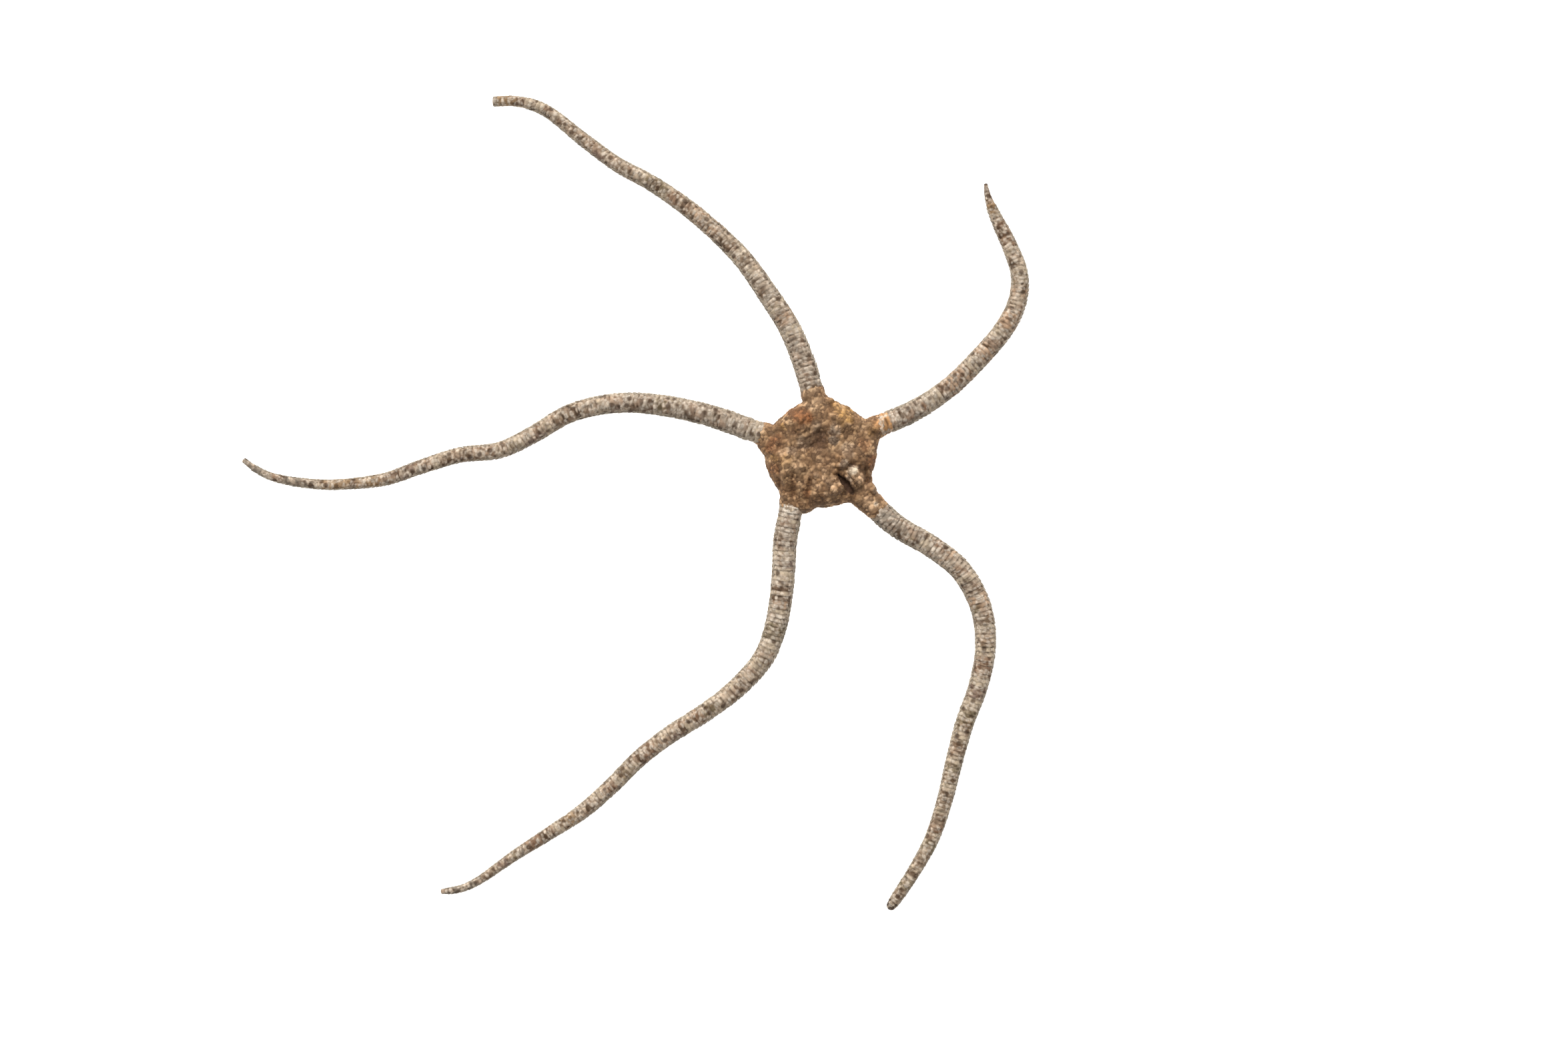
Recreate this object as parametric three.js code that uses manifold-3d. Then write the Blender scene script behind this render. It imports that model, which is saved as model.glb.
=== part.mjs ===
// Dried brittle star, lying on its underside.
// A small round disc carries five long, thin, ringed arms, each bent its own way.
// Millimetres, +Z up. The origin is under the middle of the disc, on the surface that
// the star rests on. +X and +Y run across the star.

import * as THREE from 'three';
import { mergeVertices } from 'three/addons/utils/BufferGeometryUtils.js';
import Module from 'manifold-3d';

const wasm = await Module();
wasm.setup();

// Disc
const MIDDLE_HEIGHT = 3.8;
const ROOT_HEIGHT = 4.3;
const LOBE_HEIGHT = 5.2;
const RIM_HEIGHT = 2.0;
const RIM_FLARE = 0.35;
const ARMPIT_TURN = 0.03;
const ARMPIT_ROOT_SHARE = 0.9;

// Powers that set how sharply the rim's flare, the root's share and its shoulders come in
const FLARE_FADE = 4;
const ROOT_SHARE_FADE = 1.5;
const SHOULDER_FADE = 3;

const STUB_STEPS = 4;
const LOBE_STEPS = 6;

// Gap between an arm and its root on the disc
const GAP = 0.3;

// Arms
const HEIGHT_PER_WIDTH = 0.8;
const RIDGE_PITCH_AT_ROOT = 2.0;
const RIDGE_PITCH_AT_TIP = 1.5;
const RIDGE_RISE = 0.8;
const TROUGH_SCALE = 0.88;
const TROUGH_TOP_SCALE = 0.95;
const ROUTE_TENSION = 0.5;
const ROUTE_DIVISIONS = 1000;

// An arm's section, from the right foot over the back to the left foot.
// Each corner is a share of half the width, a share of the height, and whether the
// ridges move it.
const ARM_SECTION = [
  { across: -0.62, up: 0.0, ridged: false },
  { across: -1.0, up: 0.24, ridged: true },
  { across: -0.92, up: 0.64, ridged: true },
  { across: -0.42, up: 1.0, ridged: true },
  { across: 0.42, up: 1.0, ridged: true },
  { across: 0.92, up: 0.64, ridged: true },
  { across: 1.0, up: 0.24, ridged: true },
  { across: 0.62, up: 0.0, ridged: false },
];

// Each arm has its route from the disc outwards as x, y and the height of its underside,
// and its width at a few distances along it. They stand in the order in which they go
// round the disc, and lobeRadius and lobeHeight are of the lobe that follows the arm.
const ARMS = [
  {
    name: 'arm_right',
    route: [
      [10.9, 4.9, 0], [17, 7.6, 0], [23, 11.6, 0.3], [28.2, 16.6, 0.6], [32.8, 22, 0.3],
      [35.3, 27, 0], [35.7, 32, 0], [34, 37, 0.2], [31.5, 42.2, 0.6], [30.1, 45.7, 0.9],
      [29.6, 48.3, 1.2],
    ],
    widths: [[0, 3.9], [10, 3.5], [30, 3.35], [40, 2.9], [47, 2.5], [52, 1.7], [56.5, 0.6]],
    lobeRadius: 9.55,
    lobeHeight: 1.0,
    colour: '#b3a083',
  },
  {
    name: 'arm_top',
    route: [
      [-1.8, 11.9, 0], [-3, 16, 0], [-5.6, 22.3, 0.2], [-9.6, 28.6, 0.5], [-13.8, 34.5, 0.4],
      [-18.8, 39.6, 0], [-24.3, 44.2, 0], [-30.3, 48.3, 0.3], [-36.5, 51.7, 0.5],
      [-42.4, 56, 0.2], [-48, 60.5, 0], [-51.3, 62.3, 0.2], [-55, 63.1, 0.5], [-59, 63, 0.9],
    ],
    widths: [[0, 4.05], [12, 3.75], [36, 3.0], [60, 2.4], [72, 2.0], [81, 1.8]],
    lobeRadius: 9.4,
    lobeHeight: 0.98,
    colour: '#ac9a7f',
  },
  {
    name: 'arm_left',
    route: [
      [-11.9, 3.8, 0], [-20, 6.6, 0], [-29, 8.5, 0.4], [-37, 8.8, 0.7], [-45, 7, 0.4],
      [-51.5, 3.3, 0], [-57.7, 0.4, 0], [-64.9, -0.5, 0.3], [-71.8, -2.6, 0.5],
      [-78.6, -4.9, 0.2], [-87, -5.8, 0], [-93, -5.5, 0.2], [-98.3, -4.5, 0.5],
      [-101.5, -3, 0.8], [-103.8, -1.3, 1.1],
    ],
    widths: [[0, 3.95], [12, 3.7], [40, 3.0], [66, 2.35], [76, 1.85], [85, 1.6], [94, 1.1], [97, 0.9]],
    lobeRadius: 10.15,
    lobeHeight: 0.96,
    colour: '#a6937a',
  },
  {
    name: 'arm_lower',
    route: [
      [-5.5, -10.9, 0], [-6.4, -16, 0], [-6.8, -23, 0.3], [-7.9, -30.5, 0.6], [-10.2, -36.8, 0.4],
      [-15, -42.3, 0], [-20.7, -46.7, 0], [-27, -50.7, 0.3], [-32.5, -54.9, 0.5],
      [-37.6, -60, 0.2], [-43, -64.7, 0], [-49.1, -68.7, 0.3], [-55.2, -72.6, 0.4],
      [-61, -76.7, 0.2], [-64.5, -78.4, 0.4], [-68.3, -79, 0.9],
    ],
    widths: [[0, 4.2], [20, 3.85], [36, 3.3], [68, 2.65], [78, 2.15], [90, 1.5], [98, 1.1], [100.5, 0.8]],
    lobeRadius: 9.85,
    lobeHeight: 1.02,
    colour: '#a8967c',
  },
  {
    name: 'arm_lower_right',
    route: [
      [8.5, -8.7, 0], [13.7, -13.3, 0], [20, -17, 0.3], [25.4, -21.5, 0.6], [28.8, -28, 0.3],
      [29.6, -35, 0], [28.3, -42, 0], [25.8, -48.8, 0.3], [23.9, -55.8, 0.5],
      [22.2, -62.8, 0.2], [19.9, -69.6, 0], [16.4, -75.9, 0.2], [12.2, -82.2, 0.5],
    ],
    widths: [[0, 4.1], [12, 3.8], [32, 3.65], [50, 3.15], [74, 2.4], [83, 2.0], [86.5, 1.5]],
    lobeRadius: 9.95,
    lobeHeight: 1.0,
    colour: '#b09d81',
  },
];

// Disc's half section, as a share of the way out and a share of the full height there.
// The first list runs over a lobe and the second along an arm's root. Both go from the
// middle of the back, over the rim, to the middle of the underside.
const LOBE_PROFILE = [
  [0.14, 0.72], [0.28, 0.82], [0.42, 0.94], [0.56, 1.0], [0.7, 0.98], [0.83, 0.85],
  [0.93, 0.66], [1.0, RIM_HEIGHT / LOBE_HEIGHT], [0.97, 0.16], [0.87, 0.05], [0.6, 0], [0.12, 0],
];
const ROOT_PROFILE = [
  [0.14, 0.87], [0.28, 0.94], [0.42, 1.0], [0.56, 0.99], [0.7, 0.93], [0.83, 0.86],
  [0.93, 0.8], [1.0, 0.75], [1.0, 0], [0.87, 0], [0.6, 0], [0.12, 0],
];
const RIM_ROW = 7;
const ROOT_SHOULDER_DROP = 1.9;
const ROOT_SHOULDER_LIFT = 0.5;

// Slits that are cut into the disc
const MOUTH_SLIT = { from: 1.2, length: 2.9, width: 0.6, depth: 1.4 };
const BURSAL_SLIT = { from: 4.6, length: 4.4, width: 0.55, depth: 0.9, beside: 2.7 };
const CRACK = { x: 4.3, y: -5.8, length: 5.0, width: 0.75, depth: 1.9, turn: -50 };
const SLIT_OVERSHOOT = 1.0;
const SLIT_CURVE_STEPS = 4;

// Points of one solid that are closer than this are one point
const MERGE_DISTANCE = 1e-5;

// Adds the faces between neighbouring rings of points and closes both ends on a point
function skin(rings, firstEnd, lastEnd) {
  const count = rings[0].length;
  const points = [...rings.flat(), firstEnd, lastEnd];
  const first = points.length - 2;
  const last = points.length - 1;
  const index = [];
  for (let ring = 0; ring + 1 < rings.length; ring += 1) {
    for (let k = 0; k < count; k += 1) {
      const a = ring * count + k;
      const b = ring * count + ((k + 1) % count);
      index.push(a, a + count, b, b, a + count, b + count);
    }
  }
  const lastRing = (rings.length - 1) * count;
  for (let k = 0; k < count; k += 1) {
    const next = (k + 1) % count;
    index.push(first, k, next, last, lastRing + next, lastRing + k);
  }
  const geometry = new THREE.BufferGeometry().setFromPoints(points);
  geometry.setIndex(index);
  return geometry;
}

function middleOf(ring) {
  const sum = ring.reduce((total, point) => total.add(point), new THREE.Vector3());
  return sum.divideScalar(ring.length);
}

// A value read off a list of [place, value] pairs, straight between neighbours
function readAt(pairs, place) {
  const after = pairs.findIndex(([at]) => at >= place);
  if (after === 0) return pairs[0][1];
  if (after === -1) return pairs[pairs.length - 1][1];
  const [startAt, startValue] = pairs[after - 1];
  const [endAt, endValue] = pairs[after];
  return THREE.MathUtils.mapLinear(place, startAt, endAt, startValue, endValue);
}

function routeOf(arm) {
  const points = arm.route.map(([x, y, z]) => new THREE.Vector3(x, y, z));
  const curve = new THREE.CatmullRomCurve3(points, false, 'catmullrom', ROUTE_TENSION);
  curve.arcLengthDivisions = ROUTE_DIVISIONS;
  return curve;
}

// One ring of an arm, standing across its route
function armRing(arm, curve, distance, ridgeScale, topScale) {
  const share = Math.min(distance / curve.getLength(), 1);
  const centre = curve.getPointAt(share);
  centre.z = Math.max(centre.z, 0);
  const ahead = curve.getTangentAt(share);
  const toLeft = new THREE.Vector3(-ahead.y, ahead.x, 0).normalize();
  const width = readAt(arm.widths, distance);
  const halfWidth = width / 2;
  const height = width * HEIGHT_PER_WIDTH;
  return ARM_SECTION.map(({ across, up, ridged }) => {
    const wide = ridged ? ridgeScale : 1;
    const tall = ridged ? topScale : 1;
    const point = centre.clone().addScaledVector(toLeft, across * halfWidth * wide);
    point.z += up * height * tall;
    return point;
  });
}

// An arm is a row of rings that widen slowly and step in again, one step for each ridge
function armGeometry(arm) {
  const curve = routeOf(arm);
  const length = curve.getLength();
  const rings = [];
  let distance = 0;
  let pitch = RIDGE_PITCH_AT_ROOT;
  while (distance + pitch < length) {
    rings.push(armRing(arm, curve, distance, TROUGH_SCALE, TROUGH_TOP_SCALE));
    rings.push(armRing(arm, curve, distance + pitch * RIDGE_RISE, 1, 1));
    distance += pitch;
    pitch = THREE.MathUtils.mapLinear(distance, 0, length, RIDGE_PITCH_AT_ROOT, RIDGE_PITCH_AT_TIP);
  }
  rings.push(armRing(arm, curve, distance, TROUGH_SCALE, TROUGH_TOP_SCALE));
  rings.push(armRing(arm, curve, length, TROUGH_SCALE, TROUGH_TOP_SCALE));
  return skin(rings, middleOf(rings[0]), middleOf(rings[rings.length - 1]));
}

// The root's end face on the disc stands a gap short of the arm's first ring
function rootFace(arm) {
  const curve = routeOf(arm);
  const ahead = curve.getTangentAt(0).setZ(0).normalize();
  const toLeft = new THREE.Vector3(-ahead.y, ahead.x, 0);
  const centre = curve.getPointAt(0).addScaledVector(ahead, -GAP);
  return { centre, ahead, toLeft, halfWidth: (arm.widths[0][1] * TROUGH_SCALE) / 2 };
}

// The disc is built on spokes from its middle to its rim. Each spoke has an end point, how
// much of the root's section it takes, and how far to the side of the root it lies.
function rootSpokes(face) {
  const spokes = [];
  for (let step = 0; step <= STUB_STEPS; step += 1) {
    const side = (2 * step) / STUB_STEPS - 1;
    const end = face.centre.clone().addScaledVector(face.toLeft, side * face.halfWidth);
    spokes.push({ end, rootShare: 1, side, height: LOBE_HEIGHT });
  }
  return spokes;
}

function lobeSpokes(arm, startAngle, endAngle) {
  const whole = THREE.MathUtils.euclideanModulo(endAngle - startAngle, 2 * Math.PI);
  const turn = whole - 2 * ARMPIT_TURN;
  const spokes = [];
  for (let step = 0; step <= LOBE_STEPS; step += 1) {
    const share = step / LOBE_STEPS;
    const angle = startAngle + ARMPIT_TURN + turn * share;
    const nearRoot = Math.abs(2 * share - 1);
    const radius = arm.lobeRadius + RIM_FLARE * nearRoot ** FLARE_FADE;
    const end = new THREE.Vector3(Math.cos(angle) * radius, Math.sin(angle) * radius, 0);
    const rootShare = ARMPIT_ROOT_SHARE * nearRoot ** ROOT_SHARE_FADE;
    spokes.push({ end, rootShare, side: 0, height: LOBE_HEIGHT * arm.lobeHeight });
  }
  return spokes;
}

function discPoint(spoke, row) {
  const [lobeOut, lobeUp] = LOBE_PROFILE[row];
  const [rootOut, rootUp] = ROOT_PROFILE[row];
  const out = THREE.MathUtils.lerp(lobeOut, rootOut, spoke.rootShare);
  let up = THREE.MathUtils.lerp(lobeUp * spoke.height, rootUp * ROOT_HEIGHT, spoke.rootShare);
  const shoulder = Math.abs(spoke.side) ** SHOULDER_FADE;
  if (row === RIM_ROW) up -= shoulder * ROOT_SHOULDER_DROP;
  if (row === RIM_ROW + 1) up += shoulder * ROOT_SHOULDER_LIFT;
  return new THREE.Vector3(spoke.end.x * out, spoke.end.y * out, up);
}

function discBody() {
  const faces = ARMS.map(rootFace);
  const spokes = ARMS.flatMap((arm, k) => {
    const root = rootSpokes(faces[k]);
    const nextRoot = rootSpokes(faces[(k + 1) % ARMS.length]);
    const from = root[root.length - 1].end;
    const to = nextRoot[0].end;
    return [...root, ...lobeSpokes(arm, Math.atan2(from.y, from.x), Math.atan2(to.y, to.x))];
  });
  const rings = LOBE_PROFILE.map((_, row) => spokes.map((spoke) => discPoint(spoke, row)));
  return skin(rings, new THREE.Vector3(0, 0, MIDDLE_HEIGHT), new THREE.Vector3(0, 0, 0));
}

// A slit is a lens-shaped prism, along X before it is turned
function slitCutter(length, width, low, high) {
  const outline = new THREE.Shape();
  outline.moveTo(-length / 2, 0);
  outline.quadraticCurveTo(0, -width, length / 2, 0);
  outline.quadraticCurveTo(0, width, -length / 2, 0);
  const options = { depth: high - low, bevelEnabled: false, curveSegments: SLIT_CURVE_STEPS };
  return new THREE.ExtrudeGeometry(outline, options).translate(0, 0, low);
}

function mouthSlit(direction) {
  const { from, length, width, depth } = MOUTH_SLIT;
  const cutter = slitCutter(length, width, -SLIT_OVERSHOOT, depth);
  return cutter.translate(from + length / 2, 0, 0).rotateZ(direction);
}

function bursalSlit(direction, side) {
  const { from, length, width, depth, beside } = BURSAL_SLIT;
  const cutter = slitCutter(length, width, -SLIT_OVERSHOOT, depth);
  return cutter.translate(from + length / 2, side * beside, 0).rotateZ(direction);
}

function crackCut() {
  const low = LOBE_HEIGHT - CRACK.depth;
  const cutter = slitCutter(CRACK.length, CRACK.width, low, LOBE_HEIGHT + SLIT_OVERSHOOT);
  return cutter.rotateZ(THREE.MathUtils.degToRad(CRACK.turn)).translate(CRACK.x, CRACK.y, 0);
}

function toSolid(geometry) {
  const bare = geometry.clone();
  bare.deleteAttribute('normal');
  bare.deleteAttribute('uv');
  const merged = mergeVertices(bare, MERGE_DISTANCE);
  const vertProperties = Float32Array.from(merged.attributes.position.array);
  const triVerts = Uint32Array.from(merged.index.array);
  return new wasm.Manifold(new wasm.Mesh({ numProp: 3, vertProperties, triVerts }));
}

function toGeometry(solid) {
  const { vertProperties, triVerts, numProp } = solid.getMesh();
  const geometry = new THREE.BufferGeometry();
  geometry.setAttribute('position', new THREE.Float32BufferAttribute(vertProperties, numProp));
  geometry.setIndex(Array.from(triVerts));
  return geometry;
}

function discGeometry() {
  let disc = toSolid(discBody()).subtract(toSolid(crackCut()));
  for (const arm of ARMS) {
    const { centre } = rootFace(arm);
    const direction = Math.atan2(centre.y, centre.x);
    disc = disc.subtract(toSolid(mouthSlit(direction)));
    for (const side of [-1, 1]) {
      disc = disc.subtract(toSolid(bursalSlit(direction, side)));
    }
  }
  return toGeometry(disc);
}

function bone(colour) {
  return new THREE.MeshStandardMaterial({ color: colour, roughness: 0.85, metalness: 0 });
}

const star = new THREE.Group();
star.name = 'dried_brittle_star';

const disc = new THREE.Mesh(discGeometry(), bone('#8a6b4c'));
disc.name = 'disc';
star.add(disc);

for (const arm of ARMS) {
  const mesh = new THREE.Mesh(armGeometry(arm), bone(arm.colour));
  mesh.name = arm.name;
  star.add(mesh);
}

export default star;
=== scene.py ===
"""A dried brittle star on a pale table, seen from straight above.

The disc and the arms are modelled in millimetres and made metres when each mesh is done.
"""
import bisect
import math
import random

import bmesh
import bpy
from bpy.props import FloatProperty, FloatVectorProperty, IntProperty, PointerProperty
from mathutils import Matrix, Vector, noise
from mathutils.geometry import interpolate_bezier


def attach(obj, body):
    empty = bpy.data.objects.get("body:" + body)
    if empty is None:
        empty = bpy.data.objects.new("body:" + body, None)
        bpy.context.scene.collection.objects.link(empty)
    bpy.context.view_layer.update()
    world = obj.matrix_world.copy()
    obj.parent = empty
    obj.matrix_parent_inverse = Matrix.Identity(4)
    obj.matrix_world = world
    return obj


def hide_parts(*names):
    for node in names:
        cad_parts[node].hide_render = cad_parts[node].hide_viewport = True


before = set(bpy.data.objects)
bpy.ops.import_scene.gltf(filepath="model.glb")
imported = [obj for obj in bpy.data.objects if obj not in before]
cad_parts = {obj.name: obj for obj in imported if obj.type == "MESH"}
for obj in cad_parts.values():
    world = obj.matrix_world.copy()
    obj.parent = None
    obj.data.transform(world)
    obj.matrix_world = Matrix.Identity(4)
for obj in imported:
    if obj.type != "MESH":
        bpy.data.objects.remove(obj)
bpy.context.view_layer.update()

bl_info = {
    "name": "Dried Brittle Star",
    "version": (1, 0, 0),
    "blender": (4, 5, 0),
    "location": "View3D > Sidebar > Brittle Star",
    "description": "Builds a dried brittle star: its granular disc, its ringed arms and a stage",
    "category": "Add Mesh",
}

MM = 0.001

# Photo: where its middle lies on the table and how much of the table it shows
PHOTO_WIDTH_PX = 2350
MM_PER_PX = 0.12
DISC_MIDDLE_PX = (1230, 678)
PHOTO_MIDDLE_PX = (1175, 784)

# Arms, in the places of their solids and of nearly their sizes. Each point of a route is
# x, y and the height of the underside, and a width stands at a distance along the arm.
# flare is how much the disc's rim widens beside the arm, clockwise and anticlockwise of
# it, and skin_to is where the disc's skin ends on the arm. rings is how clearly the rings
# show near the disc and further out, and specks is the share of places with a dark speck.
# first_mark is where the marks below start to be counted, bare_from is where the side
# spines stop, and end_round is how much of its width the arm's end is rounded over.
ARMS = {
    "arm_right": {
        "route": [
            (10.9, 4.9, 0), (17, 7.6, 0), (23, 11.6, 0.3), (28.2, 16.6, 0.6), (32.8, 22, 0.3),
            (35.3, 27, 0), (35.7, 32, 0), (34, 37, 0.2), (31.5, 42.2, 0.6), (30.1, 45.7, 0.9),
            (29.6, 48.3, 1.2),
        ],
        "widths": [(0, 3.9), (10, 3.5), (30, 3.35), (40, 2.9), (47, 2.5), (52, 1.7), (56.5, 0.6)],
        "flare": (1.1, 0.2),
        "skin_to": 0.2,
        "rings": (1.0, 0.6),
        "specks": 0.08,
        "first_mark": 2.9,
        "bare_from": 52.5,
        "end_round": 0.3,
    },
    "arm_top": {
        "route": [
            (-1.8, 11.9, 0), (-3, 16, 0), (-5.6, 22.3, 0.2), (-9.6, 28.6, 0.5), (-13.8, 34.5, 0.4),
            (-18.8, 39.6, 0), (-24.3, 44.2, 0), (-30.3, 48.3, 0.3), (-36.5, 51.7, 0.5),
            (-42.4, 56, 0.2), (-48, 60.5, 0), (-51.3, 62.3, 0.2), (-55, 63.1, 0.5), (-59, 63, 0.9),
        ],
        "widths": [(0, 4.05), (12, 3.75), (36, 3.0), (60, 2.4), (72, 2.0), (81, 1.8)],
        "flare": (1.3, 0.0),
        "skin_to": 0.0,
        "rings": (1.0, 0.5),
        "specks": 0.2,
        "first_mark": 0.4,
        "bare_from": 74.5,
        "end_round": 0.15,
    },
    "arm_left": {
        "route": [
            (-11.9, 3.8, 0), (-20, 6.6, 0), (-29, 8.5, 0.4), (-37, 8.8, 0.7), (-45, 7, 0.4),
            (-51.5, 3.3, 0), (-57.7, 0.4, 0), (-64.9, -0.5, 0.3), (-71.8, -2.6, 0.5),
            (-78.6, -4.9, 0.2), (-87, -5.8, 0), (-93, -5.5, 0.2), (-98.3, -4.5, 0.5),
            (-101.5, -3, 0.8), (-103.8, -1.3, 1.1),
        ],
        "widths": [
            (0, 3.95), (12, 3.7), (40, 3.0), (66, 2.35), (76, 1.85), (85, 1.6), (94, 1.1), (97, 0.9),
        ],
        "flare": (0.2, 1.6),
        "skin_to": -0.5,
        "rings": (0.5, 0.35),
        "specks": 0.22,
        "first_mark": 1.4,
        "bare_from": 94.0,
        "end_round": 0.3,
    },
    "arm_lower": {
        "route": [
            (-5.5, -10.9, 0), (-6.4, -16, 0), (-6.8, -23, 0.3), (-7.9, -30.5, 0.6),
            (-10.2, -36.8, 0.4), (-15, -42.3, 0), (-20.7, -46.7, 0), (-27, -50.7, 0.3),
            (-32.5, -54.9, 0.5), (-37.6, -60, 0.2), (-43, -64.7, 0), (-49.1, -68.7, 0.3),
            (-55.2, -72.6, 0.4), (-61, -76.7, 0.2), (-64.5, -78.4, 0.4), (-68.3, -79, 0.9),
        ],
        "widths": [
            (0, 4.2), (20, 3.85), (36, 3.3), (68, 2.65), (78, 2.15), (90, 1.5), (98, 1.1),
            (100.5, 0.8),
        ],
        "flare": (1.3, 1.5),
        "skin_to": -0.8,
        "rings": (1.1, 0.7),
        "specks": 0.16,
        "first_mark": 1.3,
        "bare_from": 98.0,
        "end_round": 0.3,
    },
    "arm_lower_right": {
        "route": [
            (8.5, -8.7, 0), (13.7, -13.3, 0), (20, -17, 0.3), (25.4, -21.5, 0.6), (28.8, -28, 0.3),
            (29.6, -35, 0), (28.3, -42, 0), (25.8, -48.8, 0.3), (23.9, -55.8, 0.5),
            (22.2, -62.8, 0.2), (19.9, -69.6, 0), (16.4, -75.9, 0.2), (12.2, -82.2, 0.5),
        ],
        "widths": [
            (0, 4.1), (12, 3.8), (32, 3.65), (50, 3.15), (74, 2.4), (83, 2.1), (86.5, 1.75),
        ],
        "flare": (0.5, 1.3),
        "skin_to": 3.0,
        "rings": (1.0, 0.55),
        "specks": 0.16,
        "first_mark": 3.3,
        "bare_from": 85.5,
        "end_round": 0.6,
    },
}

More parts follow.
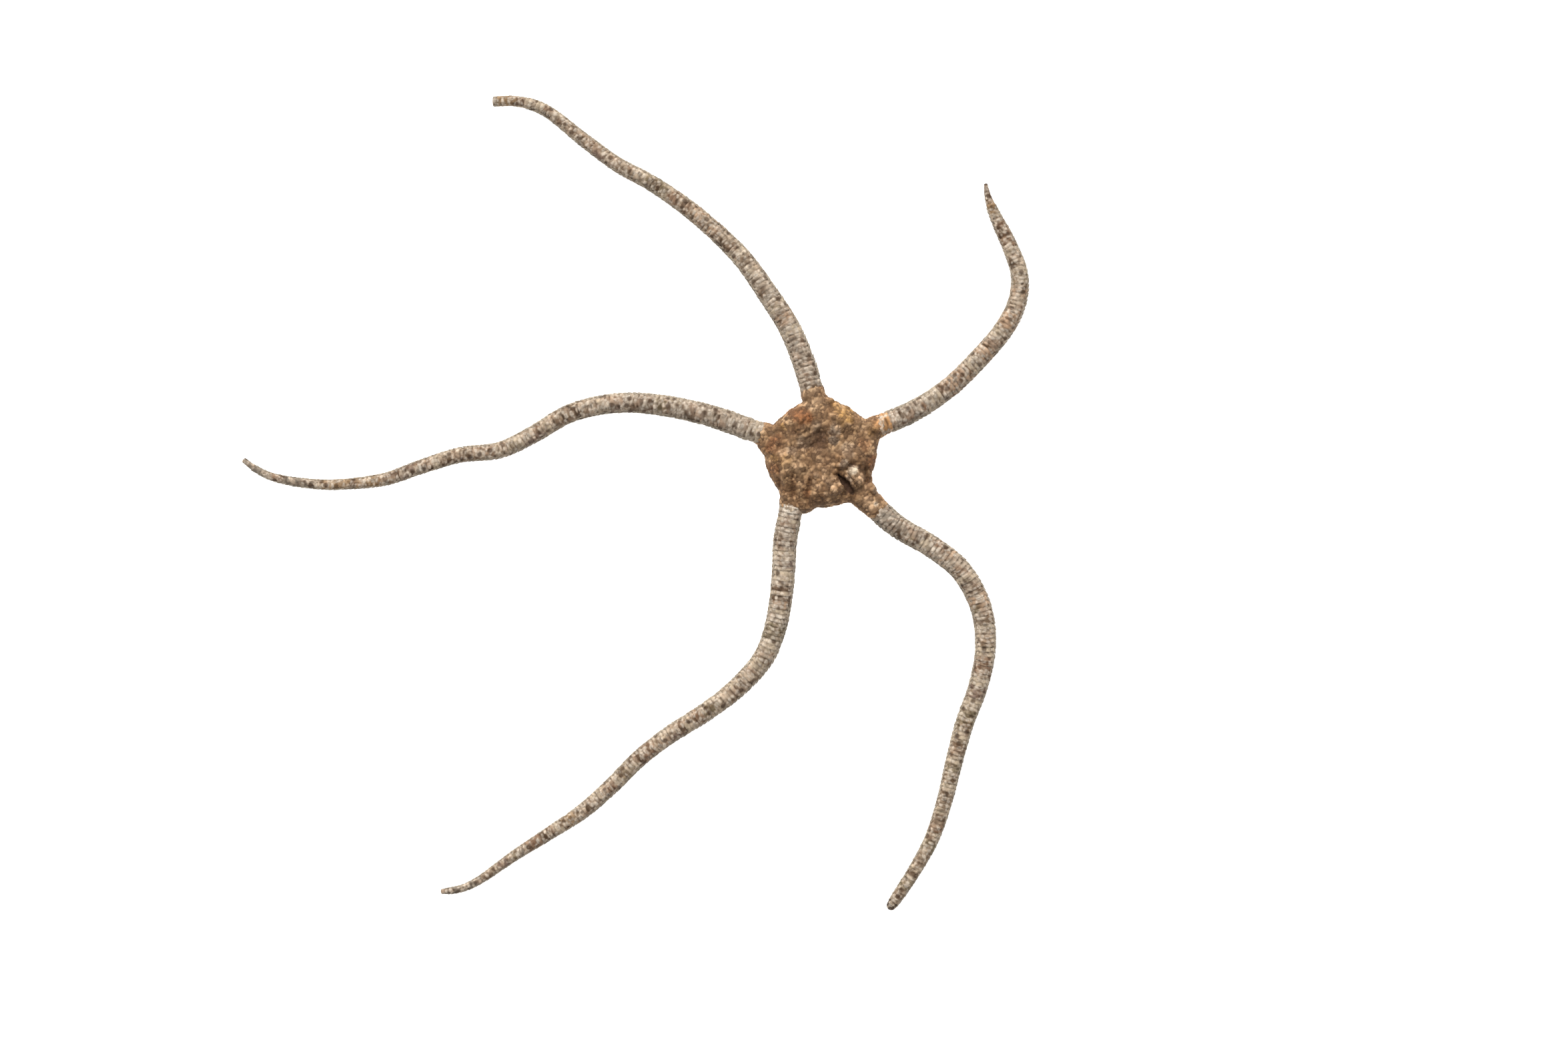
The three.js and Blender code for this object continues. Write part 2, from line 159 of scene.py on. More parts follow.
# Marks on the arms: the colour, where it starts and ends along the arm, and the side of
# the back that it lies on, looking from the disc to the tip. A mark without a side lies on
# the whole back.
LEFT, RIGHT, MIDDLE = "left", "right", "middle"
MARKS = {
    "arm_right": [
        ("orange", -4.8, -1.3), ("rust", -2.9, -2.6, LEFT), ("dark", -2.2, -1.9, RIGHT),
        ("dark", 0.9, 1.4, MIDDLE), ("dark", 2.3, 2.9, MIDDLE), ("rust", 4.8, 6.0, MIDDLE),
        ("pale", 6.2, 9.0), ("dark", 9.2, 9.9), ("peach", 10.2, 15.9),
        ("dark", 10.5, 11.1, MIDDLE), ("dark", 15.1, 15.8, MIDDLE), ("pale", 16.0, 18.4),
        ("peach", 18.5, 21.6), ("dark", 18.7, 19.3, MIDDLE), ("dark", 20.8, 21.3),
        ("rust", 22.9, 23.4), ("pale", 23.5, 25.8), ("dark", 26.0, 27.0, RIGHT),
        ("peach", 25.8, 28.9), ("peach", 32.0, 33.4), ("olive", 34.2, 35.8), ("pale", 35.9, 37.0),
        ("dark", 37.8, 39.2, LEFT), ("pale", 39.4, 40.8), ("rust", 41.0, 47.0),
        ("dark", 43.6, 45.6, LEFT), ("grey", 46.0, 47.8, LEFT), ("pale", 47.1, 47.8, RIGHT),
        ("ochre", 48.0, 50.2), ("dark", 50.3, 51.4), ("mauve", 51.5, 53.2), ("soot", 53.2, 56.0),
    ],
    "arm_top": [
        ("ochre", -2.2, -1.0), ("dark", -0.9, -0.5, MIDDLE), ("dark", 4.0, 4.5, RIGHT),
        ("dark", 8.2, 8.7, LEFT), ("pale", 9.0, 10.9), ("dark", 11.6, 12.0, LEFT),
        ("peach", 12.0, 13.8), ("pale", 14.4, 15.8), ("brown", 17.9, 19.5, LEFT),
        ("pale", 22.3, 23.8, MIDDLE), ("brown", 24.5, 25.9), ("pale", 26.3, 27.9),
        ("dark", 28.0, 31.0, LEFT), ("peach", 32.0, 34.0), ("brown", 33.9, 34.5),
        ("peach", 35.4, 38.6), ("dark", 37.0, 39.5, LEFT), ("dark", 39.8, 40.2),
        ("pale", 40.4, 41.0), ("rust", 41.0, 43.3), ("pale", 43.4, 44.3), ("olive", 44.4, 48.4),
        ("dark", 45.4, 47.2, MIDDLE), ("pale", 48.5, 49.5), ("brown", 50.0, 51.4, LEFT),
        ("brown", 52.0, 55.6, LEFT), ("mauve", 56.4, 59.0, LEFT), ("brown", 60.0, 62.6, LEFT),
        ("dark", 65.0, 67.3, MIDDLE), ("pale", 67.5, 68.6, RIGHT), ("dark", 68.6, 69.8, LEFT),
        ("pale", 70.5, 72.1), ("dark", 72.4, 72.9), ("pale", 73.0, 74.3),
        ("dark", 74.5, 76.2, MIDDLE), ("ochre", 76.2, 79.2), ("grey", 79.4, 82.0),
    ],
    "arm_left": [
        ("pale", -2.8, -0.2), ("soot", 1.9, 2.4, LEFT), ("soot", 3.2, 3.6, MIDDLE),
        ("dark", 5.6, 6.2, LEFT), ("dark", 6.8, 7.3, RIGHT), ("dark", 9.2, 9.8, RIGHT),
        ("dark", 9.5, 11.6, LEFT), ("dark", 11.9, 12.4), ("pale", 12.5, 13.4, RIGHT),
        ("pale", 14.2, 17.0, RIGHT), ("olive", 14.8, 17.0, MIDDLE), ("dark", 17.5, 19.5, LEFT),
        ("dark", 18.9, 19.5, RIGHT), ("dark", 20.1, 21.5, LEFT), ("white", 21.9, 22.8, RIGHT),
        ("mauve", 22.9, 25.0, LEFT), ("dark", 24.9, 25.5, LEFT), ("pale", 26.6, 27.4),
        ("dark", 27.4, 27.9, MIDDLE), ("brown", 29.5, 36.0), ("soot", 31.0, 31.6, MIDDLE),
        ("soot", 32.3, 32.8, RIGHT), ("soot", 33.7, 34.4, MIDDLE), ("pale", 36.3, 38.3),
        ("mauve", 38.5, 42.4, LEFT), ("pale", 42.8, 45.6), ("pale", 47.0, 47.6, RIGHT),
        ("rust", 47.8, 48.7, MIDDLE), ("brown", 50.0, 54.0, LEFT), ("dark", 54.4, 57.8, LEFT),
        ("pale", 57.9, 59.2), ("dark", 59.5, 60.1), ("white", 60.7, 62.2, MIDDLE),
        ("mauve", 62.9, 65.3), ("dark", 65.5, 66.3), ("brown", 67.0, 68.0, LEFT),
        ("pale", 67.8, 68.7, RIGHT), ("ochre", 69.0, 73.8), ("dark", 73.9, 74.6, LEFT),
        ("ochre", 75.0, 80.2), ("soot", 80.8, 82.2), ("grey", 82.2, 87.0), ("rust", 87.0, 89.2),
        ("grey", 89.5, 98.0),
    ],
    "arm_lower": [
        ("white", -2.8, -0.8, MIDDLE), ("pale", 0.0, 0.7), ("dark", 3.4, 3.9),
        ("mauve", 4.0, 9.0, LEFT), ("soot", 4.4, 4.9, MIDDLE), ("pale", 5.1, 7.0),
        ("pale", 8.8, 10.7), ("dark", 12.2, 12.7), ("pale", 12.9, 13.4),
        ("dark", 13.5, 15.0, RIGHT), ("dark", 13.6, 15.0, LEFT), ("peach", 14.6, 15.9, MIDDLE),
        ("pale", 16.0, 17.0), ("soot", 17.5, 18.1, LEFT), ("white", 17.3, 17.8, MIDDLE),
        ("olive", 18.5, 22.0), ("pale", 22.3, 24.0), ("brown", 25.2, 25.9), ("pale", 26.0, 28.0),
        ("brown", 28.2, 31.0, LEFT), ("dark", 32.2, 32.7, MIDDLE), ("pale", 32.6, 33.5, RIGHT),
        ("brown", 33.2, 35.2, LEFT), ("pale", 36.8, 38.0), ("olive", 38.1, 40.2),
        ("rust", 40.5, 42.5), ("dark", 41.8, 42.3, MIDDLE), ("pale", 43.0, 44.2),
        ("dark", 44.3, 44.8), ("mauve", 45.2, 47.8, LEFT), ("pale", 48.0, 49.8, RIGHT),
        ("pale", 50.0, 50.6), ("rust", 50.8, 54.8), ("dark", 53.9, 54.7, MIDDLE),
        ("pale", 55.2, 57.0), ("olive", 57.4, 59.0), ("pale", 59.2, 60.1), ("rust", 60.6, 62.3),
        ("pale", 63.0, 65.5, RIGHT), ("brown", 66.2, 68.2, LEFT), ("ochre", 69.4, 72.3),
        ("dark", 72.4, 72.8), ("pale", 73.0, 74.2), ("rust", 74.4, 75.3), ("dark", 75.5, 77.2),
        ("rust", 77.2, 80.5), ("grey", 80.8, 82.5), ("olive", 82.6, 84.1), ("mauve", 84.2, 86.6),
        ("brown", 87.0, 90.0, LEFT), ("grey", 91.0, 97.5), ("soot", 97.8, 102.0),
    ],
    "arm_lower_right": [
        ("peach", -1.8, -0.4), ("dark", -0.4, 0.0, MIDDLE), ("grey", 0.0, 3.4),
        ("dark", 3.7, 5.3, RIGHT), ("olive", 5.8, 7.2, RIGHT), ("dark", 7.3, 8.4, RIGHT),
        ("pale", 8.6, 10.4), ("rust", 10.7, 13.5, LEFT), ("dark", 12.8, 13.4, MIDDLE),
        ("peach", 13.6, 14.7), ("brown", 14.8, 18.2, RIGHT), ("pale", 18.5, 20.0),
        ("dark", 20.0, 21.2, RIGHT), ("dark", 21.4, 22.4, LEFT), ("peach", 22.8, 25.2),
        ("olive", 24.6, 25.8, RIGHT), ("rust", 26.0, 27.4, LEFT), ("brown", 27.2, 28.2),
        ("pale", 28.3, 29.6), ("pale", 30.4, 31.3), ("dark", 31.4, 32.2, MIDDLE),
        ("pale", 32.4, 34.4), ("rust", 34.6, 37.0), ("dark", 37.0, 37.8), ("pale", 38.0, 39.4),
        ("mauve", 39.5, 42.0), ("pale", 42.1, 43.7), ("olive", 43.9, 48.4),
        ("brown", 46.8, 48.2, LEFT), ("pale", 48.7, 50.3), ("brown", 50.5, 53.0),
        ("pale", 53.1, 54.4), ("olive", 54.6, 56.0), ("brown", 56.2, 58.0), ("pale", 58.1, 59.3),
        ("brown", 59.6, 62.4), ("pale", 62.6, 63.8), ("brown", 63.9, 65.6), ("rust", 65.6, 67.0),
        ("pale", 67.2, 68.1), ("olive", 68.5, 70.8), ("brown", 71.0, 74.0), ("pale", 74.1, 75.0),
        ("dark", 75.1, 76.0), ("olive", 76.2, 78.7), ("brown", 79.0, 80.4), ("pale", 80.6, 81.3),
        ("soot", 81.6, 86.0),
    ],
}

# Noise is given as the size of its spots in millimetres and its strength. Each shift
# gives one noise another place, and each seed gives a cell of a pattern another value.
BLUSH_SHIFT = Vector((0, 11, 0))
MARK_SHIFT = Vector((7, 0, 0))
GRANULE_SHIFT = Vector((5, 5, 5))
GAP_SHIFT = Vector((0, 0, 9))
TONE_SEED = 37.0
SHADE_SEED = 91.0
SPECK_SEED = 53.0
# A cell takes up to this share of its neighbour's tone at their common edge
TONE_BLEND = 0.5

# How much of its colour a mark lays over the plates
MARK_STRENGTH = {
    "orange": 0.9, "pale": 0.75, "white": 0.95, "peach": 0.6, "rust": 0.6, "ochre": 0.65,
    "brown": 0.6, "dark": 0.75, "soot": 0.85, "olive": 0.65, "mauve": 0.65, "grey": 0.65,
}
# A mark's edge is soft, wanders along the arm and follows the plates part of the way
MARK_EDGE = 0.15
MARK_WANDER = (0.8, 0.4)
MARK_BY_PLATE = 0.6
# How much a mark shows at least and by a piece's shade, how patchy it is, and how much of
# it the underside lacks
MARK_LEAST = 0.6
MARK_BY_SHADE = 0.7
MARK_PATCHY = (0.5, 0.5)
MARK_OFF_BELLY = 0.7
# Degrees round the arm over which a mark on one side, or in the middle, fades
SIDE_FADE = (-12, 22)
MIDDLE_FADE = (22, 50)

# Arm's section: points around it and how much closer they stand on the back, the share
# of the width that the spines leave, its height per width, how high up it is widest, the
# powers that round its sides, top and floor, and the least that a rounded end keeps
AROUND = 52
FINER_BACK = 0.4
BODY_SHARE = 0.97
HEIGHT_PER_WIDTH = 0.8
SECTION_MIDDLE = 0.4
SECTION_SIDES = 0.8
SECTION_TOP = 0.9
SECTION_FLOOR = 0.6
NARROWEST_END = 0.12

# The arm's end in its sleeve: how far in it reaches, and how it is lifted off the table
TUCKED_IN = 0.9
TUCK_LIFT = 0.15
TUCK_FADES = (-0.5, 0.2)

# Random traits of a segment: its length, its swelling, how dark the painted shade in its
# seam is, how many notches its rim has, and how often and how far from the middle its back
# is split
SEGMENT_LENGTHS = (0.9, 1.1)
SEGMENT_SWELL = 0.012
SEAM_SHADE = (0.35, 1.0)
NOTCH_COUNTS = (0, 0, 1, 1, 2, 3)
SPLIT_CHANCE = 0.35
SPLIT_REACH = 0.4

# Round the arm: where the back plates and the belly plates end, the seams there, where
# the sides are painted darker as painted shade, and the notches. The notches and the splits
# are painted darker too, as painted shade, and the seams' painted shade shows in patches.
# All relief is in millimetres and is full where half the arm's width is at least
# FULL_RELIEF_HALF.
BACK_EDGE = math.radians(42)
BELLY_EDGE = math.radians(139)
EDGE_SOFT = math.radians(5)
SEAM_WIDTH = math.radians(4)
EDGE_FROM = math.radians(45)
EDGE_TO = math.radians(75)
EDGE_SHADE = 0.1
NOTCH_REACH = math.radians(80)
NOTCH_WIDTH = math.radians(7)
NOTCH_DEPTH = 0.1
NOTCH_SHADE = 1.3
SEAM_DEPTH = 0.04
SPLIT_DEPTH = 0.05
SPLIT_SHADE = 0.6
FULL_RELIEF_HALF = 1.6
SEAM_SHADE_PATCHES = (-0.5, 0.35)
SEAM_SHADE_PATCH_SIZE = 0.8
BROAD_RELIEF = (1.1, 0.07)
FINE_RELIEF = (0.45, 0.05)

# Painted shade in the seams: how much less there is on the back, and how much lies
# beside the pieces of the back and in the long seams
SHADE_OFF_BACK = 0.3
PIECE_GAP_SHADE = 0.4
SEAM_LINE_SHADE = 0.3

# Each segment is painted in sectors round the arm, each in a tone of its own
SECTORS = [math.radians(degrees) for degrees in (-139, -85, -62, -42, -14, 14, 42, 62, 85, 139)]

# Places of the rings in one segment, as shares of its length, how far the plates have
# risen there, and how deep in the seam between two segments the ring lies
STATIONS = (0.0, 0.14, 0.34, 0.54, 0.74, 0.9)
RISES = (0.0, 0.45, 0.75, 0.95, 1.0, 0.75)
SEAMS = (1.0, 0.3, 0.0, 0.0, 0.05, 0.4)
# How far a plate's rim stands out, and how much higher the back's middle is
BACK_RISE = 0.06
SIDE_RISE = 0.1
BELLY_RISE = 0.05
CROWN = 0.05
# The colour of a ring is painted darker in its seam, as painted shade, and lighter on its
# rim, as painted light. RINGS_NEAR and RINGS_FAR are the distances at which an arm's two
# values for its rings hold.
RING_SHADE = 0.84
RING_LIGHT = 1.1
RINGS_NEAR = 20
RINGS_FAR = 45

# The plates on the back are broken into pieces, each with a tone and a swelling of its
# own. Their sizes are in millimetres, and the dark and pale ones are shares of them all.
PIECE_LONG = 0.58
PIECE_WIDE = 0.66
PIECE_SWELL = 0.05
PIECE_GAP = 0.04
PIECE_ROUND = 0.7
PIECE_EDGE = 0.35
PIECE_BLEND = 0.5
DARK_PIECES = 0.17
PALE_PIECES = 0.2

# Plates' mottling, and how much of each further colour goes on
BROAD_MOTTLE = (1.2, 0.85)
FINE_MOTTLE = (0.45, 0.6)
PIECE_MOTTLE = 0.6
SECTOR_MOTTLE = 0.3
SECTOR_WANDER = (0.5, 0.12)
ASHEN_TINT = 0.4
ASHEN_FADES = (15, 35)
BLUSH_TINT = 0.5
BLUSH_SIZE = 1.7
BLUSH_RANGE = (-0.1, 0.4)
SIDE_TINT = 0.55
BELLY_TINT = 0.8
DARK_TINT = 0.65
PALE_TINT = 0.55
SPECK_TINT = 0.8
SPECK_APART = 1.5
SPECK_EDGE = (0.22, 0.42)
TONE_TOP = 0.92
TONE_SPREAD = 0.15

# The rings bow forwards on the back and sweep forwards on the sides
BOW = 0.16
SWEEP = 0.14
SWEEP_TO = 1.6

# Side spines lie in a row up each side of a segment. They start this far out and stop
# this far from the arm's tip, and the pairs are the ranges of their random traits.
SPINES_FROM = 0.3
SPINES_BEFORE_TIP = 0.8
SPINE_ANGLES = [math.radians(degrees) for degrees in (58, 70, 82, 94, 106, 118)]
SPINE_SIDES = 6
SPINE_RINGS = 5
SPINE_TAPER = 0.35
SPINE_FLAT = 0.75
WORN_SPINES = 0.15
SPINE_STRAY = 0.08
SPINE_FEET = (0.35, 0.5)
SPINE_STANDS_OUT = 0.06
SPINE_LEAN = (0.02, 0.16)
SPINE_LENGTHS = (0.9, 1.2)
SPINE_LEAST = 0.35
SPINE_THICKNESS = (0.85, 1.15)
SPINE_PALE = (0.3, 0.8)
# A spine is painted darker at its foot, as painted shade, and lighter towards its tip, as painted
# light
SPINE_FOOT_SHADE = 0.75
SPINE_LIGHTENS = 0.35

# Disc: share of the way out and height in millimetres, over a lobe and along a root,
# from the middle of the back over the rim to the middle of the underside
LOBE_PROFILE = [
    (0, 3.7), (0.14, 3.75), (0.28, 4.2), (0.42, 4.75), (0.56, 5.0), (0.7, 4.9), (0.83, 4.25),
    (0.93, 3.3), (1.0, 2.0), (0.97, 0.85), (0.87, 0.25), (0.6, 0.05), (0.12, 0.02), (0, 0.02),
]
ROOT_PROFILE = [
    (0, 3.7), (0.14, 3.7), (0.28, 4.0), (0.42, 4.25), (0.56, 4.2), (0.7, 3.9), (0.83, 3.55),
    (0.93, 3.2), (1.0, 2.2), (1.0, 0.8), (0.87, 0.1), (0.6, 0.05), (0.12, 0.02), (0, 0.02),
]
# Radius of the lobe that follows each arm, going round from the right arm
LOBE_RADII = (9.5, 9.4, 10.1, 10.0, 9.95)
# Turns to either side of an arm within which the disc takes on the root's section, has
# all of it, and has a flared rim
ROOT_TURN = math.radians(30)
ROOT_CORE_TURN = math.radians(8)
FLARE_TURN = math.radians(24)

# Lumps on the disc: x, y and z of the middle, then half sizes, then the turn in degrees
LUMPS = [
    (5.9, -3.5, 4.4, 1.15, 0.95, 0.9, -55), (6.6, -4.8, 4.0, 1.2, 0.85, 0.85, -60),
    (4.2, -2.2, 4.4, 0.9, 0.65, 0.65, 10), (3.2, -2.5, 4.4, 0.55, 0.45, 0.5, 0),
    (5.2, -5.2, 3.7, 2.0, 0.4, 0.95, -52), (2.2, -5.0, 4.5, 0.6, 0.5, 0.6, 20),
    (2.5, -6.3, 4.1, 2.0, 1.5, 1.0, 25), (0.3, -3.3, 4.4, 0.4, 0.35, 0.45, 0),
    (0.8, -3.6, 4.4, 0.35, 0.3, 0.4, 0), (-0.8, -4.2, 4.5, 0.5, 0.4, 0.45, 0),
    (2.6, -3.5, 4.4, 0.5, 0.4, 0.5, 30), (-0.1, -5.0, 4.6, 0.45, 0.4, 0.4, 0),
    (2.6, 3.1, 4.05, 0.5, 1.5, 0.6, 3), (3.0, 4.5, 4.4, 0.55, 0.5, 0.5, 0),
    (1.9, 9.2, 2.7, 0.6, 0.45, 0.7, 0), (-5.6, -10.3, 3.0, 0.95, 0.75, 0.6, -27),
    (-6.5, 4.9, 3.6, 0.8, 0.65, 0.55, 0), (-7.7, 3.9, 3.2, 0.75, 0.7, 0.5, 0),
    (5.2, 5.8, 3.95, 0.65, 0.6, 0.5, 0), (8.7, -6.5, 2.7, 1.5, 1.15, 1.1, -60),
    (-4.6, -0.8, 4.6, 0.5, 0.45, 0.35, 0), (-7.6, 1.2, 3.7, 0.7, 0.6, 0.6, 0),
    (9.3, 3.8, 2.8, 0.8, 0.7, 0.6, 0),
]
# Folds in the disc's back: x and y of both ends, half width and height. Valleys are below 0.
FOLDS = [
    (-3.8, -3.0, -3.6, -8.0, 0.55, 0.3), (-5.0, -3.4, -4.9, -8.0, 0.4, -0.35),
    (-2.0, -5.2, -2.5, -9.6, 0.35, -0.4), (-6.6, -1.0, -6.6, -5.2, 0.6, 0.25),
    (-7.6, -2.4, -7.2, -6.0, 0.35, -0.3), (-6.6, 6.2, -1.8, 6.9, 0.6, 0.35),
    (-5.6, 4.4, -1.6, 5.4, 0.5, -0.3), (1.4, 4.6, 2.0, 8.4, 0.5, -0.25),
    (2.2, 6.6, 6.2, 4.4, 0.6, 0.25), (0.0, 3.0, -1.2, 6.4, 0.45, 0.2),
    (3.8, 2.6, 4.2, -1.0, 0.5, 0.2), (7.8, -3.0, 8.4, -5.6, 0.5, -0.5),
    (3.0, -3.6, 5.9, -7.6, 0.75, -0.45), (4.9, -2.9, 5.4, -2.2, 0.4, -0.5),
]
# Dents in the disc: x, y, radius and depth
DENTS = [
    (-0.5, 2.6, 1.8, 0.65), (0.5, 3.4, 0.9, 0.3), (-4.8, 3.4, 0.7, 0.35), (6.0, -2.3, 0.6, 0.45),
    (8.2, -1.2, 0.9, 0.3), (-4.8, -4.2, 0.8, 0.2),
]
# The crack: x, y, turn in degrees, length, width, lowest and highest point. Its walls are
# painted darker, as painted shade, between two heights, and the skin beside it between two
# distances.
CRACK = (4.4, -5.6, -52, 5.0, 1.3, 3.45, 7.0)
CRACK_SHADE = (3.7, 4.7)
CRACK_BESIDE = (0.1, 0.3)
# Slits in the underside along each arm: where they start from the disc's middle, their
# sizes and how far beside the arm's line they lie. Their cutters reach below the table.
MOUTH_SLIT = {"from": 1.2, "length": 2.9, "width": 0.6, "depth": 1.3, "beside": 0}
BURSAL_SLIT = {"from": 4.6, "length": 4.4, "width": 0.55, "depth": 0.8, "beside": 2.7}
SLIT_OVERSHOOT = 1.0

# Patches of colour on the disc: the colour, x, y, radius and strength. The hollow patches
# lie in the dents and the sunken middle, as painted shade.
PATCHES = [
    ("rust", -3.6, 6.5, 2.0, 0.8), ("rust", -2.0, 6.3, 1.2, 0.85), ("rust", -8.8, 1.2, 1.6, 0.75),
    ("rust", -8.0, 2.4, 1.1, 0.5), ("rust", 9.2, -1.9, 1.3, 0.75), ("rust", 7.9, 1.2, 1.4, 0.45),
    ("rust", -8.4, -3.2, 1.2, 0.45), ("rust", -2.4, -7.4, 1.0, 0.5),
    ("rust", -5.2, 7.0, 1.2, 0.5), ("ochre", 4.2, 6.7, 1.9, 0.85), ("ochre", 5.3, 5.8, 0.8, 0.9),
    ("ochre", 2.6, 8.2, 1.3, 0.6), ("ochre", -6.5, 4.8, 1.0, 0.6), ("tan", -5.8, 5.2, 1.1, 0.6),
    ("ochre", -8.2, -1.2, 1.0, 0.6), ("ochre", -6.2, -1.4, 1.3, 0.4),
    ("ochre", 9.2, 3.8, 1.0, 0.6), ("tan", -1.7, 9.9, 2.4, 0.85), ("tan", -1.9, 11.2, 1.6, 0.8),
    ("tan", -1.2, 8.4, 1.2, 0.8), ("tan", -11.3, 4.2, 1.5, 0.8), ("tan", 9.0, -9.2, 1.8, 0.6),
    ("tan", 7.4, -6.4, 1.6, 0.5), ("tan", -4.8, -2.0, 1.9, 0.6), ("tan", 7.6, 5.0, 1.2, 0.4),
    ("tan", -3.8, -5.4, 1.0, 0.5), ("hollow_shade", -0.5, 2.8, 2.3, 0.8),
    ("hollow_shade", -0.2, 1.4, 1.7, 0.6), ("hollow_shade", 6.1, -2.4, 0.7, 0.85),
    ("hollow_shade", -4.8, 3.5, 0.8, 0.6), ("hollow_shade", 7.4, -2.8, 1.0, 0.5),
    ("hollow_shade", 0.8, -1.2, 1.6, 0.3), ("ash", 2.4, 2.2, 1.0, 0.8), ("ash", 2.4, 3.8, 1.0, 0.8),
    ("ash", 4.2, -2.2, 1.0, 0.75), ("ash", 5.1, -5.0, 0.9, 0.6), ("ash", -3.4, 1.6, 1.6, 0.45),
    ("ash", 5.0, 0.4, 1.8, 0.35), ("ash", -0.6, 4.8, 1.2, 0.4), ("ash", -5.4, 0.2, 1.2, 0.4),
    ("ash", 10.2, -6.6, 1.2, 0.4), ("ash", -3.8, -10.8, 0.9, 0.6), ("peach", 1.8, -6.0, 1.0, 0.7),
    ("peach", 6.7, -4.4, 0.8, 0.7), ("peach", 0.5, -3.4, 0.6, 0.8),
    ("peach", -0.8, -4.2, 0.6, 0.85), ("peach", 2.2, -4.8, 0.6, 0.8),
    ("peach", 3.0, 4.5, 0.6, 0.7), ("orange", 10.8, 5.0, 1.4, 0.9),
    ("peach", 9.2, -9.4, 1.2, 0.7), ("peach", 8.0, -8.6, 0.8, 0.5),
    ("peach", -7.0, -0.2, 0.8, 0.5), ("peach", 6.0, -3.7, 1.4, 0.8),
    ("white", 5.7, -3.25, 1.2, 0.85), ("peach", 6.7, -4.9, 1.1, 0.75),
    ("peach", 1.2, -5.4, 0.6, 0.8), ("peach", 3.3, -5.6, 0.6, 0.8),
    ("peach", -0.3, -6.3, 0.5, 0.7), ("peach", 2.4, -7.0, 0.6, 0.75),
    ("peach", 0.9, -7.4, 0.5, 0.6), ("peach", 3.9, -6.6, 0.5, 0.7),
    ("peach", -1.2, -5.2, 0.5, 0.7), ("peach", 0.6, -4.6, 0.5, 0.7),
    ("white", -5.6, -10.3, 1.0, 0.9), ("white", 9.9, -9.3, 0.5, 0.8),
    ("umber", -4.9, -6.2, 1.3, 0.6), ("umber", -6.9, 2.2, 0.8, 0.5),
    ("umber", -1.0, -8.6, 1.6, 0.5), ("umber", 7.6, -1.6, 1.6, 0.55),
    ("umber", -4.8, 4.2, 1.0, 0.5), ("umber", 1.0, 7.2, 1.0, 0.4), ("umber", 3.6, -7.6, 1.0, 0.4),
    ("umber", 8.3, -4.9, 0.8, 0.6), ("umber", -7.6, -5.4, 1.2, 0.5),
]
# A patch fades between two shares of its radius, and its edge wanders
PATCH_EDGE = (0.35, 1.15)
PATCH_REACH = 1.6
PATCH_WANDER = (1.1, 0.5)

# Granules of the skin: their sizes and heights. SMOOTH_ROOT is x, y and radius of the
# place where they are lower, and GRANULES_BELOW is what is left of them on the underside.
GRANULE = 0.62
FINE_GRANULE = 0.3
GRANULE_RISE = 0.13
FINE_GRANULE_RISE = 0.04
GRANULE_ROUND = 0.75
GRANULE_BLEND = 0.4
GRANULE_WANDER = (0.9, 0.3)
# The gaps between granules are painted darker, as painted shade, in patches
GAP_EDGE = 0.3
GAP_PATCHES = (-0.4, 0.3)
GAP_PATCH_SIZE = 1.2
SMOOTH_ROOT = (-1.7, 10.2, 2.4)
SMOOTHED = 0.7
GRANULES_BELOW = 0.35

# Broad shapes of the skin: radial wrinkles, how close they are and how far out they
# begin, and lumps. BACK_FADES and UNDERSIDE_FADES are slopes between which a form of the
# back fades out, by how far up the skin faces.
WRINKLE = 0.12
WRINKLES_AROUND = 6
WRINKLE_LONG = 0.25
WRINKLES_FROM = (2, 6)
BROAD_LUMPS = (1.7, 0.15)
SMALL_LUMPS = (0.8, 0.1)
DENT_REACH = 2.5
BACK_FADES = (-0.2, 0.3)
UNDERSIDE_FADES = (-0.75, -0.3)

# How much of each further colour goes on the skin, and where. RIM_FROM and RIM_TO are
# distances from the disc's middle, and the granules' pairs are ranges of their tones.
# FOLD_LIGHT paints the ridges of the folds lighter, as painted light, and VALLEY_DARK
# paints their valleys darker, as painted shade. The rim between RIM_FROM and RIM_TO is
# painted darker, as painted shade, and SHADE_BY_HEIGHT paints the granules' tops lighter,
# as painted light.
SKIN_MOTTLE = (2.2, 0.9)
FOLD_LIGHT = 0.4
VALLEY_DARK = 1.6
VALLEY_MOST = 0.75
RIM_FROM = (8.6, 10.2)
RIM_TO = (10.6, 11)
RIM_PAINTED_SHADE = 0.25
PALE_GRANULES = (0.75, 0.95)
DARK_GRANULES = (0.05, 0.2)
GRANULE_TINT = 0.45
SKIN_SHADE = 0.9
SHADE_BY_TONE = 0.34
SHADE_BY_HEIGHT = 0.18
UNDERSIDE_TINT = 0.9
UNDERSIDE_FROM = (0.1, 0.6)

# Points of the lobes round the disc and over it, and of a slit. The joined forms are
# meshed in voxels COARSE_VOXELS times DISC_VOXEL first and of DISC_VOXEL last.
LOBES_AROUND = 180
LOBES_OVER = 60
SLIT_SIDES = 24
DISC_VOXEL = 0.12
COARSE_VOXELS = 1.6

# Sleeve of skin round an arm's root. It thins out towards its end.
ROOT_LENGTH = 6.5
ROOT_THINS = 1.4
SLEEVE_AT_DISC = 1.05
SLEEVE_AT_END = 0.96
SLEEVE_AROUND = 48
SLEEVE_RINGS = 14

